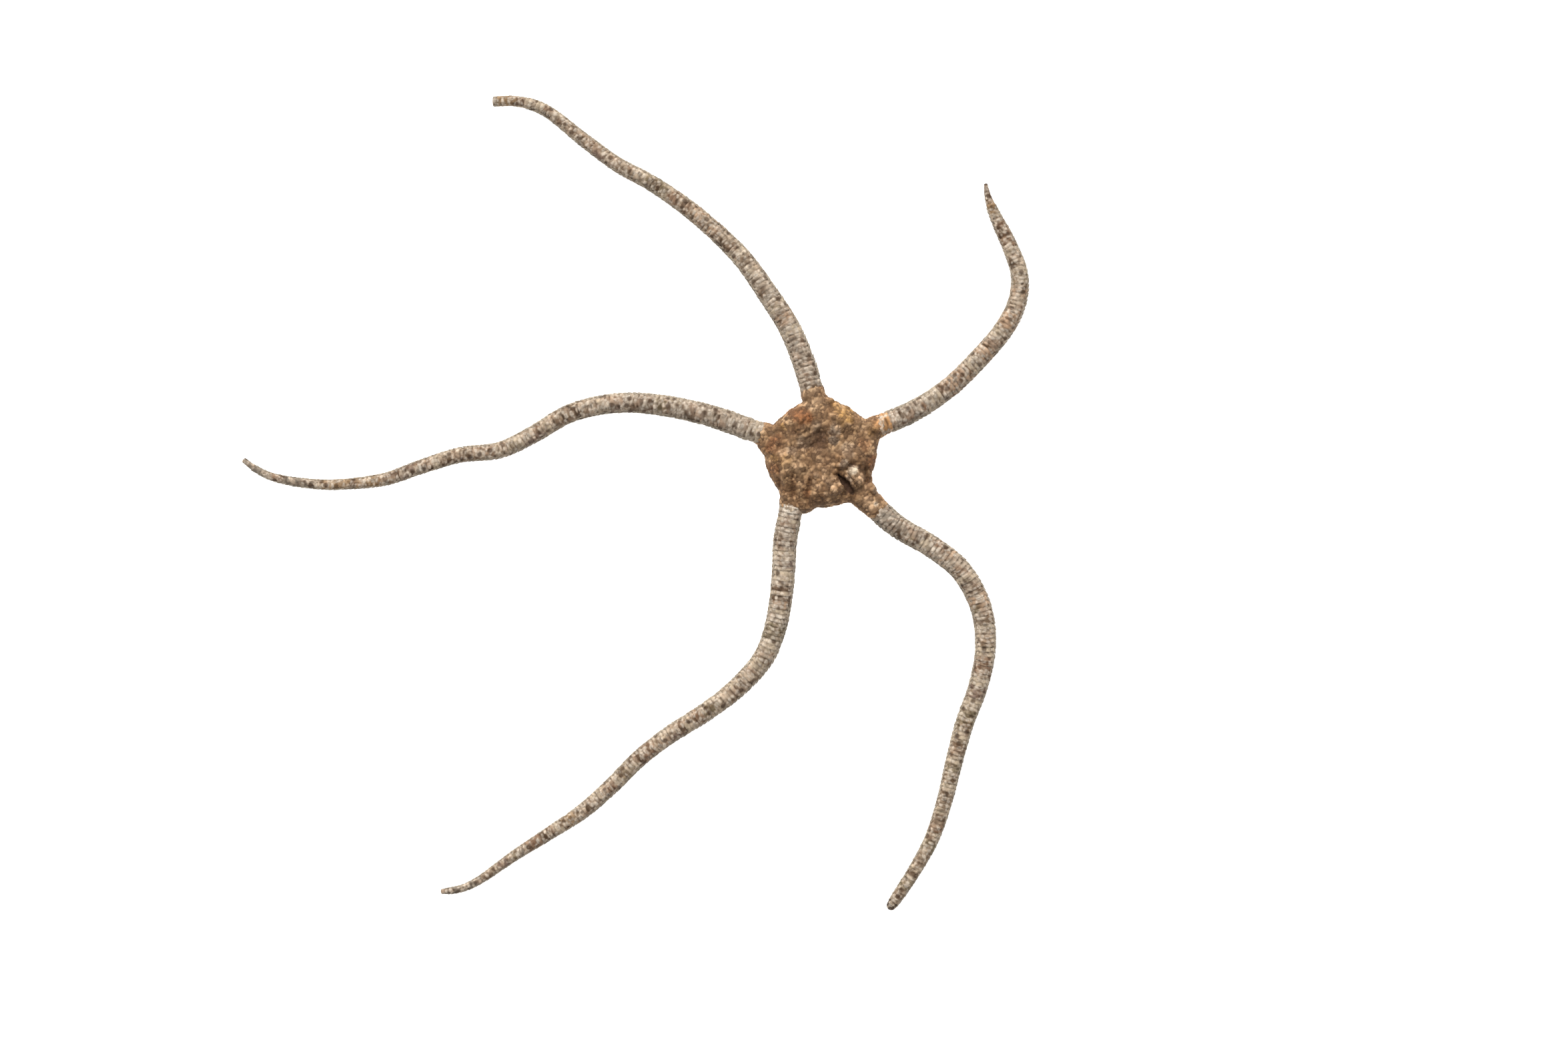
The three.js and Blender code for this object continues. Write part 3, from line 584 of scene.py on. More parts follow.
# Underside: how deep it is hollowed, and what stays raised. UNDER_PLATE is the length of
# the plates under an arm, and the pairs are where a form starts and stops.
UNDER_DEPTH = 0.3
UNDER_SOFT = (1.5, 0.12)
UNDER_PLATE = 0.95
UNDER_ARM_EDGE = (1.75, 2.1)
UNDER_ARM_FROM = (4.4, 4.9)
UNDER_SEAM = 0.25
SHIELD_AT = 4.6
SHIELD_LONG = 1.0
SHIELD_WIDE = 1.15
SHIELD_RISE = 1.3
JAW_TO = (3.4, 3.9)
JAW_BESIDE = (0.18, 0.3)

# Sizes of the patterns in the materials, in millimetres. A pore is really about 0.03 mm
# across and a grain 0.02 mm, and both are drawn coarser, so that they show.
MOTTLE = 0.6
PORE = 0.24
GRAIN = 0.12
CALCITE_SPECULAR = 0.35

# Places of the sockets that a colour Mix node uses
MIX_A = 6
MIX_B = 7
MIX_RESULT = 2

# Stage
TABLE_SIZE = 4.0
SENSOR_WIDTH = 36
CAMERA_SEES = 100
# The main light: how wide it looks in the sky, its tilt and its turn, in degrees
LIGHT_ANGLE = 30
LIGHT_TILT = 50
LIGHT_TURN = 195

# Colours as sRGB hex values, read from the object
ARM_COLOURS = {
    "side": "#a08f79", "pale": "#d3bfa3", "white": "#eddfcc", "peach": "#caa584",
    "rust": "#89654a", "ochre": "#a8855c", "brown": "#7a6148", "dark": "#5a422b",
    "soot": "#483a2e", "olive": "#7f7153", "mauve": "#80695d", "grey": "#918779",
    "blush": "#b08b6e", "orange": "#e3a96f", "speck": "#4f3722", "ashen": "#a89a8b",
    "spine": "#c3b7a4",
}
DISC_COLOURS = {
    "umber": "#6b4b2e", "rust": "#96603a", "ochre": "#b18750", "tan": "#c19f7b",
    "hollow_shade": "#5a4333", "ash": "#b09d88", "peach": "#d6b08a", "orange": "#dfa671",
    "white": "#dfcdb4",
}


def linear(hex_value):
    """An sRGB hex colour as linear red, green and blue"""
    channels = [int(hex_value[place:place + 2], 16) / 255 for place in (1, 3, 5)]
    return Vector(c / 12.92 if c <= 0.04045 else ((c + 0.055) / 1.055) ** 2.4 for c in channels)


def all_paints(colours, settings):
    """The colours of a table and those in a group of settings, by name and linear"""
    paints = {name: linear(value) for name, value in colours.items()}
    for name in settings.COLOURS:
        paints[name] = Vector(getattr(settings, name))
    return paints


def clamp(value):
    """The value, or the nearer of 0 and 1 where it lies outside them"""
    return min(max(value, 0.0), 1.0)


def smooth(low, high, value):
    """Rises smoothly from 0 at low to 1 at high"""
    share = clamp((value - low) / (high - low))
    return share * share * (3 - 2 * share)


def read_at(pairs, place):
    """A value read off (place, value) pairs, straight between neighbours"""
    if place <= pairs[0][0]:
        return pairs[0][1]
    for (start, first), (end, last) in zip(pairs, pairs[1:]):
        if place <= end:
            return first + (last - first) * (place - start) / (end - start)
    return pairs[-1][1]


def hump(value, middle, width):
    """A soft hump of height 1 at the middle"""
    return math.exp(-((value - middle) / width) ** 2)


def spots(place, size, strength):
    """Noise with spots of one size, from minus to plus about its strength"""
    return strength * noise.noise(place / size)


class Route:
    """A smooth line through given points, read by the distance along it"""

    STEPS = 60

    def __init__(self, points):
        knots = [Vector(point) for point in points]
        knots = [2 * knots[0] - knots[1], *knots, 2 * knots[-1] - knots[-2]]
        line = [knots[1]]
        for before, start, end, after in zip(knots, knots[1:], knots[2:], knots[3:]):
            leave = start + (end - before) / 6
            arrive = end - (after - start) / 6
            line += interpolate_bezier(start, leave, arrive, end, self.STEPS + 1)[1:]
        self.line = line
        self.reach = [0.0]
        for start, end in zip(line, line[1:]):
            self.reach.append(self.reach[-1] + (end - start).length)
        self.length = self.reach[-1]

    def at(self, distance):
        """The point there, and the level directions ahead and to the left"""
        place = min(max(bisect.bisect_right(self.reach, distance), 1), len(self.line) - 1)
        start, end = self.line[place - 1], self.line[place]
        share = (distance - self.reach[place - 1]) / (self.reach[place] - self.reach[place - 1])
        point = start + (end - start) * share
        point.z = max(point.z, 0.0)
        ahead = Vector((end.x - start.x, end.y - start.y, 0)).normalized()
        return point, ahead, Vector((-ahead.y, ahead.x, 0))


def section_point(angle, half_width, height):
    """A point of an arm's smooth section, as far to the left and up; angle 0 is its top"""
    sine, cosine = math.sin(angle), math.cos(angle)
    across = math.copysign(abs(sine) ** SECTION_SIDES, sine) * half_width
    middle = SECTION_MIDDLE * height
    if cosine >= 0:
        return across, middle + (height - middle) * cosine ** SECTION_TOP
    return across, middle * (1 - abs(cosine) ** SECTION_FLOOR)


def side_weight(sides, angle):
    """How much a mark on one side of the back, or on none of its own, shows there"""
    turn = math.degrees(angle)
    if LEFT in sides:
        return smooth(*SIDE_FADE, turn)
    if RIGHT in sides:
        return smooth(*SIDE_FADE, -turn)
    if MIDDLE in sides:
        return 1 - smooth(*MIDDLE_FADE, abs(turn))
    return 1.0


def arm_segments(arm, route, draw):
    """Splits an arm into segments. Each has a start, a length and small random traits"""
    sizes = bpy.context.scene.star_arms
    at_root = sizes.segment_at_root / MM
    at_tip = sizes.segment_at_tip / MM
    segments = []
    start = arm["skin_to"] - TUCKED_IN
    while start < route.length - at_tip / 3:
        share = max(start, 0) / route.length
        length = (at_root + (at_tip - at_root) * share) * draw.uniform(*SEGMENT_LENGTHS)
        length = min(length, route.length - start)
        notches = draw.choice(NOTCH_COUNTS)
        segment = {
            "start": start,
            "length": length,
            "swell": draw.uniform(-SEGMENT_SWELL, SEGMENT_SWELL),
            "seam": draw.uniform(*SEAM_SHADE),
            "tones": [draw.random() for _ in range(len(SECTORS) + 1)],
            "notches": [draw.uniform(-NOTCH_REACH, NOTCH_REACH) for _ in range(notches)],
            "split": None,
        }
        if draw.random() < SPLIT_CHANCE:
            segment["split"] = draw.uniform(-SPLIT_REACH, SPLIT_REACH)
        segments.append(segment)
        start += length
    segments[-1]["length"] = route.length - segments[-1]["start"]
    return segments


def blended_tone(points, apart, width):
    """A cell's own random tone, mixed near its edge with the tone of the cell beside it"""
    own, other = noise.cell(points[0] * TONE_SEED), noise.cell(points[1] * TONE_SEED)
    return own + (other - own) * TONE_BLEND * (1 - smooth(0.0, width, apart))


def piece_at(distance, across, number):
    """The piece of plate there: its swelling, the gap beside it, its tone and its shade"""
    place = Vector((distance / PIECE_LONG, across / PIECE_WIDE, 10 * number))
    distances, points = noise.voronoi(place)
    apart = distances[1] - distances[0]
    swelling = 1 - min(distances[0] / PIECE_ROUND, 1) ** 2
    gap = 1 - smooth(0.0, PIECE_EDGE, apart)
    tone = blended_tone(points, apart, PIECE_BLEND)
    return swelling, gap, tone, noise.cell(points[0] * SHADE_SEED)


def arm_colour(paints, arm, marks, distance, segment, angle, spot, piece):
    """The plates' colour at one place: cream mottled with beige, then the marks over it"""
    _, gap, piece_tone, shade = piece
    turn = abs(angle)
    belly = smooth(BELLY_EDGE - EDGE_SOFT, BELLY_EDGE + EDGE_SOFT, turn)
    side = smooth(BACK_EDGE - EDGE_SOFT, BACK_EDGE + 3 * EDGE_SOFT, turn) * (1 - belly)
    tone = segment["tones"][bisect.bisect(SECTORS, angle + spots(spot, *SECTOR_WANDER))]
    mottle = 0.5 + spots(spot, *BROAD_MOTTLE) + spots(spot, *FINE_MOTTLE)
    mottle += PIECE_MOTTLE * (piece_tone - 0.5) + SECTOR_MOTTLE * (tone - 0.5)
    colour = paints["cream"].lerp(paints["beige"], clamp(mottle))
    colour = colour.lerp(paints["ashen"], ASHEN_TINT * (1 - smooth(*ASHEN_FADES, distance)))
    blush = BLUSH_TINT * smooth(*BLUSH_RANGE, noise.noise(spot / BLUSH_SIZE + BLUSH_SHIFT))
    colour = colour.lerp(paints["blush"], blush * (1 - side))
    colour = colour.lerp(paints["side"], SIDE_TINT * side)
    colour = colour.lerp(paints["belly"], BELLY_TINT * belly)
    middle = segment["start"] + segment["length"] / 2
    place = distance + (middle - distance) * MARK_BY_PLATE - arm["first_mark"]
    wander_size, wander = MARK_WANDER
    place += wander * noise.noise(spot / wander_size + MARK_SHIFT)
    fade = MARK_LEAST + MARK_BY_SHADE * shade + spots(spot, *MARK_PATCHY)
    fade = (1 - MARK_OFF_BELLY * belly) * fade
    for kind, start, end, *sides in marks:
        if start - 1 < place < end + 1:
            inside = smooth(start - MARK_EDGE, start + MARK_EDGE, place)
            inside *= 1 - smooth(end - MARK_EDGE, end + MARK_EDGE, place)
            weight = inside * side_weight(sides, angle) * MARK_STRENGTH[kind] * fade
            colour = colour.lerp(paints[kind], clamp(weight))
    spotted = (1 - gap) * (1 - belly) * (1 - 0.5 * side)
    if shade > 1 - DARK_PIECES:
        colour = colour.lerp(paints["dark"], DARK_TINT * spotted)
    elif shade < PALE_PIECES:
        colour = colour.lerp(paints["white"], PALE_TINT * spotted)
    away, points = noise.voronoi(spot / SPECK_APART)
    if noise.cell(points[0] * SPECK_SEED) < arm["specks"]:
        speck = (1 - smooth(*SPECK_EDGE, away[0])) * (1 - belly)
        colour = colour.lerp(paints["speck"], SPECK_TINT * speck)
    # The sides are painted darker as they turn down, as painted shade
    edge = smooth(EDGE_FROM, EDGE_TO, turn) * (1 - belly)
    shading = TONE_TOP - TONE_SPREAD * tone - TONE_SPREAD * piece_tone
    return colour * shading * (1 - EDGE_SHADE * edge)


def arm_half_width(arm, route, distance):
    """Half the arm's width without its spines, rounded in at the very end"""
    half = read_at(arm["widths"], distance) / 2 * BODY_SHARE
    left = max(route.length - distance, 0) / (arm["end_round"] * 2 * half)
    if left < 1:
        half *= max(math.sqrt(1 - (1 - left) ** 2), NARROWEST_END)
    return half


def arm_height(half):
    """The arm's height where half its width without the spines is this"""
    return half * 2 / BODY_SHARE * HEIGHT_PER_WIDTH


def closed_tube(around, rings):
    """A straight tube of rings along Z, closed at both ends, in a bmesh of its own"""
    bm = bmesh.new()
    bmesh.ops.create_cone(
        bm, cap_ends=True, cap_tris=True, segments=around, radius1=1, radius2=1, depth=1)
    upright = [e for e in bm.edges if abs(e.verts[0].co.z - e.verts[1].co.z) > 0.5]
    bmesh.ops.subdivide_edges(bm, edges=upright, cuts=rings - 2, use_grid_fill=True)
    return bm


def plate_relief(segment, station, angle, spot, piece, shown):
    """How far the plates stand out there, and how much painted shade the seams lay there"""
    turn = abs(angle)
    rise, seam = RISES[station], SEAMS[station] * segment["seam"] * shown
    back = 1 - smooth(BACK_EDGE - EDGE_SOFT, BACK_EDGE + EDGE_SOFT, turn)
    belly = smooth(BELLY_EDGE - EDGE_SOFT, BELLY_EDGE + EDGE_SOFT, turn)
    side = 1 - back - belly
    relief = rise * (BACK_RISE * back + SIDE_RISE * side + BELLY_RISE * belly)
    relief += CROWN * back * (1 - (turn / BACK_EDGE) ** 2)
    between = hump(turn, BACK_EDGE, SEAM_WIDTH) + hump(turn, BELLY_EDGE, SEAM_WIDTH)
    relief -= SEAM_DEPTH * between
    swelling, gap, _, _ = piece
    relief += back * (PIECE_SWELL * swelling - PIECE_GAP * gap)
    # The seams, the gaps beside the back's pieces and the long seams take painted shade, in patches
    seam_darkness = smooth(*SEAM_SHADE_PATCHES, noise.noise(spot / SEAM_SHADE_PATCH_SIZE))
    painted_shade = seam * (1 - SHADE_OFF_BACK * back) + PIECE_GAP_SHADE * back * gap
    painted_shade = (painted_shade + SEAM_LINE_SHADE * between * (1 - belly)) * seam_darkness
    # A split and the notches are painted darker too, as painted shade
    if segment["split"] is not None:
        crack = hump(angle, segment["split"], SEAM_WIDTH) * back
        relief -= SPLIT_DEPTH * crack
        painted_shade += SPLIT_SHADE * crack
    if SEAMS[station] > 0:
        for notch in segment["notches"]:
            hole = hump(angle, notch, NOTCH_WIDTH)
            relief -= NOTCH_DEPTH * hole * SEAMS[station]
            painted_shade += NOTCH_SHADE * hole * min(2 * SEAMS[station], 1)
    relief += spots(spot, *BROAD_RELIEF) + spots(spot, *FINE_RELIEF)
    return relief, clamp(painted_shade)


def arm_body(paints, arm, marks, route, segments, arm_number):
    """An arm's body: a tube with one ring of points for each station of each segment"""
    rings = len(segments) * len(STATIONS) + 1
    bm = closed_tube(AROUND, rings)
    paint = bm.verts.layers.float_color.new("paint")
    seam = bm.verts.layers.float.new("seam")
    for vert in bm.verts:
        ring = round((vert.co.z + 0.5) * (rings - 1))
        number = min(ring // len(STATIONS), len(segments) - 1)
        station = ring % len(STATIONS)
        segment = segments[number]
        is_last = ring == rings - 1
        distance = segment["start"] + segment["length"] * (1 if is_last else STATIONS[station])
        half = arm_half_width(arm, route, distance) * (1 + segment["swell"])
        height = arm_height(half)
        if Vector(vert.co.xy).length < 0.5:
            vert.co = route.at(distance)[0] + Vector((0, 0, height / 2))
            vert[paint] = (*paints["belly"], 1)
            continue
        angle = math.atan2(vert.co.x, vert.co.y)
        angle -= FINER_BACK * math.sin(angle)
        turn = abs(angle)
        place = distance
        if number < len(segments) - 1:
            bow = BOW * max(1 - (turn / BACK_EDGE) ** 2, 0)
            place += (bow + SWEEP * smooth(BACK_EDGE, SWEEP_TO, turn)) * segment["length"]
        point, _, left = route.at(place)
        across, up = section_point(angle, half, height)
        spot = point + left * across + Vector((0, 0, up))
        piece = piece_at(place, angle * half, arm_number)
        shown = read_at([(RINGS_NEAR, arm["rings"][0]), (RINGS_FAR, arm["rings"][1])], place)
        relief, painted_shade = plate_relief(segment, station, angle, spot, piece, shown)
        relief *= min(half / FULL_RELIEF_HALF, 1)
        spot += left * (math.sin(angle) * relief) + Vector((0, 0, math.cos(angle) * relief))
        fades_from, fades_to = TUCK_FADES
        tucked = 1 - smooth(arm["skin_to"] + fades_from, arm["skin_to"] + fades_to, distance)
        spot.z = max(spot.z, TUCK_LIFT * tucked)
        vert.co = spot
        vert[seam] = painted_shade
        colour = arm_colour(paints, arm, marks, place, segment, angle, spot, piece)
        # Each ring is painted darker in its seam and lighter on its rim: painted shade and light
        ring_shade = RING_SHADE + (RING_LIGHT - RING_SHADE) * RISES[station]
        vert[paint] = (*(colour * (1 + shown * (ring_shade - 1))), 1)
    return bm


def side_spines(paints, arm, marks, route, segments, arm_number, draw):
    """All the side spines of one arm, each a small ball drawn out to a flat peg"""
    sizes = bpy.context.scene.star_arms
    placed = []
    bare_from = min(arm["bare_from"], route.length - SPINES_BEFORE_TIP)
    for segment in segments:
        start = segment["start"]
        if start < SPINES_FROM or start + segment["length"] > bare_from:
            continue
        for angle in SPINE_ANGLES:
            for side in (-1, 1):
                if draw.random() > WORN_SPINES:
                    turn = side * angle + draw.uniform(-SPINE_STRAY, SPINE_STRAY)
                    placed.append((segment, turn))
    ball = bmesh.new()
    ball.verts.layers.float_color.new("paint")
    ball.verts.layers.float.new("seam")
    bmesh.ops.create_uvsphere(ball, u_segments=SPINE_SIDES, v_segments=SPINE_RINGS, radius=1)
    count = len(ball.verts)
    pattern = bpy.data.meshes.new("passing")
    ball.to_mesh(pattern)
    ball.free()
    bm = bmesh.new()
    for _ in placed:
        bm.from_mesh(pattern)
    bpy.data.meshes.remove(pattern)
    paint = bm.verts.layers.float_color["paint"]
    bm.verts.ensure_lookup_table()
    for number, (segment, angle) in enumerate(placed):
        foot_at = segment["start"] + segment["length"] * draw.uniform(*SPINE_FEET)
        foot, ahead, left = route.at(foot_at)
        half = arm_half_width(arm, route, foot_at)
        height = arm_height(half)
        scale = min(half / FULL_RELIEF_HALF, 1)
        across, up = section_point(angle, half + SPINE_STANDS_OUT * scale, height)
        foot = foot + left * across + Vector((0, 0, up))
        out = left * math.sin(angle) + Vector((0, 0, math.cos(angle)))
        along = (ahead + out * draw.uniform(*SPINE_LEAN)).normalized()
        side = out.cross(along).normalized()
        out = along.cross(side)
        length = segment["length"] * draw.uniform(*SPINE_LENGTHS)
        radius = sizes.spine_radius / MM * (SPINE_LEAST + (1 - SPINE_LEAST) * scale)
        radius *= draw.uniform(*SPINE_THICKNESS)
        piece = piece_at(foot_at, angle * half, arm_number)
        colour = arm_colour(paints, arm, marks, foot_at, segment, angle, foot, piece)
        colour = colour.lerp(paints["spine"], draw.uniform(*SPINE_PALE))
        for vert in bm.verts[number * count:(number + 1) * count]:
            x, y, z = vert.co
            share = (z + 1) / 2
            thick = radius * (1 - SPINE_TAPER * share)
            spot = foot + side * (x * thick) + out * (y * thick * SPINE_FLAT)
            spot += along * (share * length)
            spot.z = max(spot.z, 0.0)
            vert.co = spot
            # Painted shade at the spine's foot and painted light towards its tip
            vert[paint] = (*(colour * (SPINE_FOOT_SHADE + SPINE_LIGHTENS * share)), 1)
    return bm


def mesh_object(bm, name):
    """An object that holds a bmesh as it is. The bmesh is freed"""
    mesh = bpy.data.meshes.new(name)
    bm.to_mesh(mesh)
    bm.free()
    made = bpy.data.objects.new(name, mesh)
    bpy.context.collection.objects.link(made)
    return made


def add_object(bm, name, material):
    """Makes a bmesh that is in millimetres an object in metres, at the origin"""
    bmesh.ops.scale(bm, vec=(MM, MM, MM), verts=bm.verts)
    piece = mesh_object(bm, name)
    piece.data.shade_smooth()
    piece.data.materials.append(material)
    return piece


def arm_direction(arm):
    """The turn, seen from the middle of the disc, at which an arm leaves"""
    x, y, _ = arm["route"][0]
    return math.atan2(y, x)


def disc_outline(azimuth):
    """Radius of the disc in one direction and how much of a root's section it has there"""
    turns = [(azimuth - arm_direction(arm)) % math.tau for arm in ARMS.values()]
    last = turns.index(min(turns))
    following = (last + 1) % len(turns)
    since, until = turns[last], math.tau - turns[following]
    near = min(since, until)
    neighbour = last - 1 if since < until else following
    share = 0.5 * (1 - smooth(0, ROOT_TURN, near))
    radius = LOBE_RADII[last] * (1 - share) + LOBE_RADII[neighbour] * share
    closest = list(ARMS.values())[last if since < until else following]
    past = since if since < until else -until
    clockwise, anticlockwise = closest["flare"]
    flare = clockwise + (anticlockwise - clockwise) * smooth(-ROOT_CORE_TURN, ROOT_CORE_TURN, past)
    radius += flare * (1 - smooth(ROOT_CORE_TURN, FLARE_TURN, near))
    return radius, 1 - smooth(ROOT_CORE_TURN, ROOT_TURN, near)


def read_profile(profile, share):
    """How far out and how high a half section is at a share of its length"""
    place = share * (len(profile) - 1)
    row = min(int(place), len(profile) - 2)
    (out, up), (next_out, next_up) = profile[row], profile[row + 1]
    return out + (next_out - out) * (place - row), up + (next_up - up) * (place - row)


def add_lobes(bm):
    """The disc's body: a sphere pressed into the half sections, all the way round"""
    made = bmesh.ops.create_uvsphere(
        bm, u_segments=LOBES_AROUND, v_segments=LOBES_OVER, radius=1)
    for vert in made["verts"]:
        azimuth = math.atan2(vert.co.y, vert.co.x)
        share = math.acos(min(max(vert.co.z, -1), 1)) / math.pi
        radius, rootness = disc_outline(azimuth)
        lobe_out, lobe_up = read_profile(LOBE_PROFILE, share)
        root_out, root_up = read_profile(ROOT_PROFILE, share)
        out = (lobe_out + (root_out - lobe_out) * rootness) * radius
        up = lobe_up + (root_up - lobe_up) * rootness
        vert.co = Vector((math.cos(azimuth) * out, math.sin(azimuth) * out, up))


def root_sleeve(arm):
    """The sleeve of skin that an arm stands in"""
    route = Route(arm["route"])
    whole = arm["widths"][0][1] / 2
    bm = closed_tube(SLEEVE_AROUND, SLEEVE_RINGS)
    for vert in bm.verts:
        distance = -ROOT_LENGTH + (ROOT_LENGTH + arm["skin_to"]) * (vert.co.z + 0.5)
        thinned = smooth(arm["skin_to"] - ROOT_THINS, arm["skin_to"], distance)
        half = whole * (SLEEVE_AT_DISC + (SLEEVE_AT_END - SLEEVE_AT_DISC) * thinned)
        height = half * 2 * HEIGHT_PER_WIDTH
        size = min(Vector(vert.co.xy).length, 1)
        point, _, left = route.at(distance)
        across, up = section_point(math.atan2(vert.co.x, vert.co.y), half, height)
        rise = height / 2 + (up - height / 2) * size
        vert.co = point + left * (across * size) + Vector((0, 0, rise))
    return bm


def add_copy(bm, other):
    """Adds what another bmesh holds, and frees it"""
    mesh = bpy.data.meshes.new("passing")
    other.to_mesh(mesh)
    other.free()
    bm.from_mesh(mesh)
    bpy.data.meshes.remove(mesh)


def add_lumps(bm):
    """The lumps on the disc, each a squashed ball"""
    for x, y, z, long, wide, tall, degrees in LUMPS:
        place = Matrix.Translation((x, y, z)) @ Matrix.Rotation(math.radians(degrees), 4, "Z")
        size = Matrix.Diagonal((long, wide, tall, 1))
        bmesh.ops.create_icosphere(bm, subdivisions=3, radius=1, matrix=place @ size)


def add_slit(bm, x, y, turn, length, width, low, high):
    """A lens-shaped prism that cuts a slit, along X before it is turned"""
    made = bmesh.ops.create_cone(
        bm, cap_ends=True, cap_tris=False, segments=SLIT_SIDES, radius1=1, radius2=1, depth=1)
    rotation = Matrix.Rotation(turn, 3, "Z")
    for vert in made["verts"]:
        share = vert.co.x
        side = math.copysign(1 - share ** 2, vert.co.y) if abs(share) < 0.999 else 0
        spot = rotation @ Vector((share * length / 2, side * width / 2, 0))
        height = high if vert.co.z > 0 else low
        vert.co = Vector((x + spot.x, y + spot.y, height))
    bmesh.ops.remove_doubles(bm, verts=made["verts"], dist=1e-5)


def add_slits(bm):
    """The crack in the back and, on the underside, the mouth and a slit beside each root"""
    x, y, degrees, length, width, low, high = CRACK
    add_slit(bm, x, y, math.radians(degrees), length, width, low, high)
    for arm in ARMS.values():
        turn = arm_direction(arm)
        ahead = Vector((math.cos(turn), math.sin(turn)))
        left = Vector((-ahead.y, ahead.x))
        for slit, side in ((MOUTH_SLIT, 0), (BURSAL_SLIT, -1), (BURSAL_SLIT, 1)):
            middle = ahead * (slit["from"] + slit["length"] / 2)
            middle += left * (side * slit["beside"])
            add_slit(bm, *middle, turn, slit["length"], slit["width"], -SLIT_OVERSHOOT,
                     slit["depth"])


def add_modifier(target, kind, **settings):
    """Adds one modifier with its settings"""
    made = target.modifiers.new(kind.title(), kind)
    for name, value in settings.items():
        setattr(made, name, value)


def finished_mesh(source):
    """The mesh of an object with its modifiers applied"""
    bpy.context.view_layer.update()
    shaped = source.evaluated_get(bpy.context.evaluated_depsgraph_get())
    return bpy.data.meshes.new_from_object(shaped)


def grown_together():
    """Lobes, roots and lumps joined into one closed skin, with the slits cut into it"""
    bm = bmesh.new()
    add_lobes(bm)
    for arm in ARMS.values():
        add_copy(bm, root_sleeve(arm))
    add_lumps(bm)
    body = mesh_object(bm, "disc_forms")
    bm = bmesh.new()
    add_slits(bm)
    slits = mesh_object(bm, "disc_slits")
    add_modifier(body, "REMESH", mode="VOXEL", voxel_size=DISC_VOXEL * COARSE_VOXELS)
    add_modifier(body, "SMOOTH", factor=0.5, iterations=3)
    add_modifier(body, "BOOLEAN", operation="DIFFERENCE", solver="EXACT", object=slits)
    add_modifier(body, "REMESH", mode="VOXEL", voxel_size=DISC_VOXEL)
    add_modifier(body, "SMOOTH", factor=0.5, iterations=2)
    mesh = finished_mesh(body)
    for helper in (body, slits):
        used = helper.data
        bpy.data.objects.remove(helper)
        bpy.data.meshes.remove(used)
    return mesh


def granule_at(spot):
    """Height of the granule there, how open the gap beside it is and its own tone"""
    wander_size, wander = GRANULE_WANDER
    place = spot / wander_size
    wandered = Vector((noise.noise(place), noise.noise(place + GRANULE_SHIFT), 0))
    distances, points = noise.voronoi((spot + wander * wandered) / GRANULE)
    height = 1 - min(distances[0] / GRANULE_ROUND, 1) ** 2
    apart = distances[1] - distances[0]
    gap = 1 - smooth(0.0, GAP_EDGE, apart)
    gap *= smooth(*GAP_PATCHES, noise.noise(spot / GAP_PATCH_SIZE + GAP_SHIFT))
    return height, gap, blended_tone(points, apart, GRANULE_BLEND)


def fold_at(fold, spot):
    """How strongly a fold shows at a place, from 0 to 1"""
    x0, y0, x1, y1, half_width, _ = fold
    start = Vector((x0, y0))
    run = Vector((x1 - x0, y1 - y0))
    share = min(max((spot.xy - start).dot(run) / run.length_squared, 0), 1)
    return hump((spot.xy - start - run * share).length, 0, half_width)


def crack_shade(spot):
    """How much painted shade the crack lays on a place: its walls are painted darker downwards"""
    x, y, degrees, length, width, _, _ = CRACK
    turned = Matrix.Rotation(-math.radians(degrees), 2) @ Vector((spot.x - x, spot.y - y))
    beside = abs(turned.y) - width / 2 * max(1 - (2 * turned.x / length) ** 2, 0)
    if abs(turned.x) > length / 2:
        return 0.0
    return (1 - smooth(*CRACK_SHADE, spot.z)) * (1 - smooth(*CRACK_BESIDE, beside))


def disc_colour(paints, spot, tone, height, folded, upward):
    """The skin's colour at one place: brown granules of many tones, then the patches"""
    reach = math.hypot(spot.x, spot.y)
    # Ridges of the folds are painted lighter, as painted light
    broad = 0.5 + spots(spot, *SKIN_MOTTLE) + FOLD_LIGHT * folded
    colour = paints["base"].lerp(paints["light"], clamp(broad))
    # Valleys of the folds are painted darker, as painted shade
    colour = colour.lerp(paints["umber"], min(max(-VALLEY_DARK * folded, 0), VALLEY_MOST))
    wander_size, wander = PATCH_WANDER
    for kind, x, y, radius, strength in PATCHES:
        away = math.hypot(spot.x - x, spot.y - y) / radius
        if away < PATCH_REACH:
            edge = away + wander * noise.noise(spot / wander_size + Vector((x, y, 0)))
            weight = strength * (1 - smooth(*PATCH_EDGE, edge))
            colour = colour.lerp(paints[kind], weight)
    # The rim, where the disc turns down, is painted darker, as painted shade
    rim_shade = smooth(*RIM_FROM, reach) * (1 - smooth(*RIM_TO, reach))
    colour = colour.lerp(paints["umber"], RIM_PAINTED_SHADE * rim_shade)
    # Pale granules take the tan most on their tops, partly as painted light
    colour = colour.lerp(paints["tan"], GRANULE_TINT * smooth(*PALE_GRANULES, tone) * height)
    colour = colour.lerp(paints["umber"], GRANULE_TINT * (1 - smooth(*DARK_GRANULES, tone)))
    # Higher parts of the granules are painted lighter by SHADE_BY_HEIGHT, as painted light
    colour = colour * (SKIN_SHADE + SHADE_BY_TONE * tone + SHADE_BY_HEIGHT * height)
    # The crack is painted dark, as painted shade, deeper down its walls
    colour = colour.lerp(paints["crack"], crack_shade(spot))
    return colour.lerp(paints["belly"], UNDERSIDE_TINT * smooth(*UNDERSIDE_FROM, -upward))


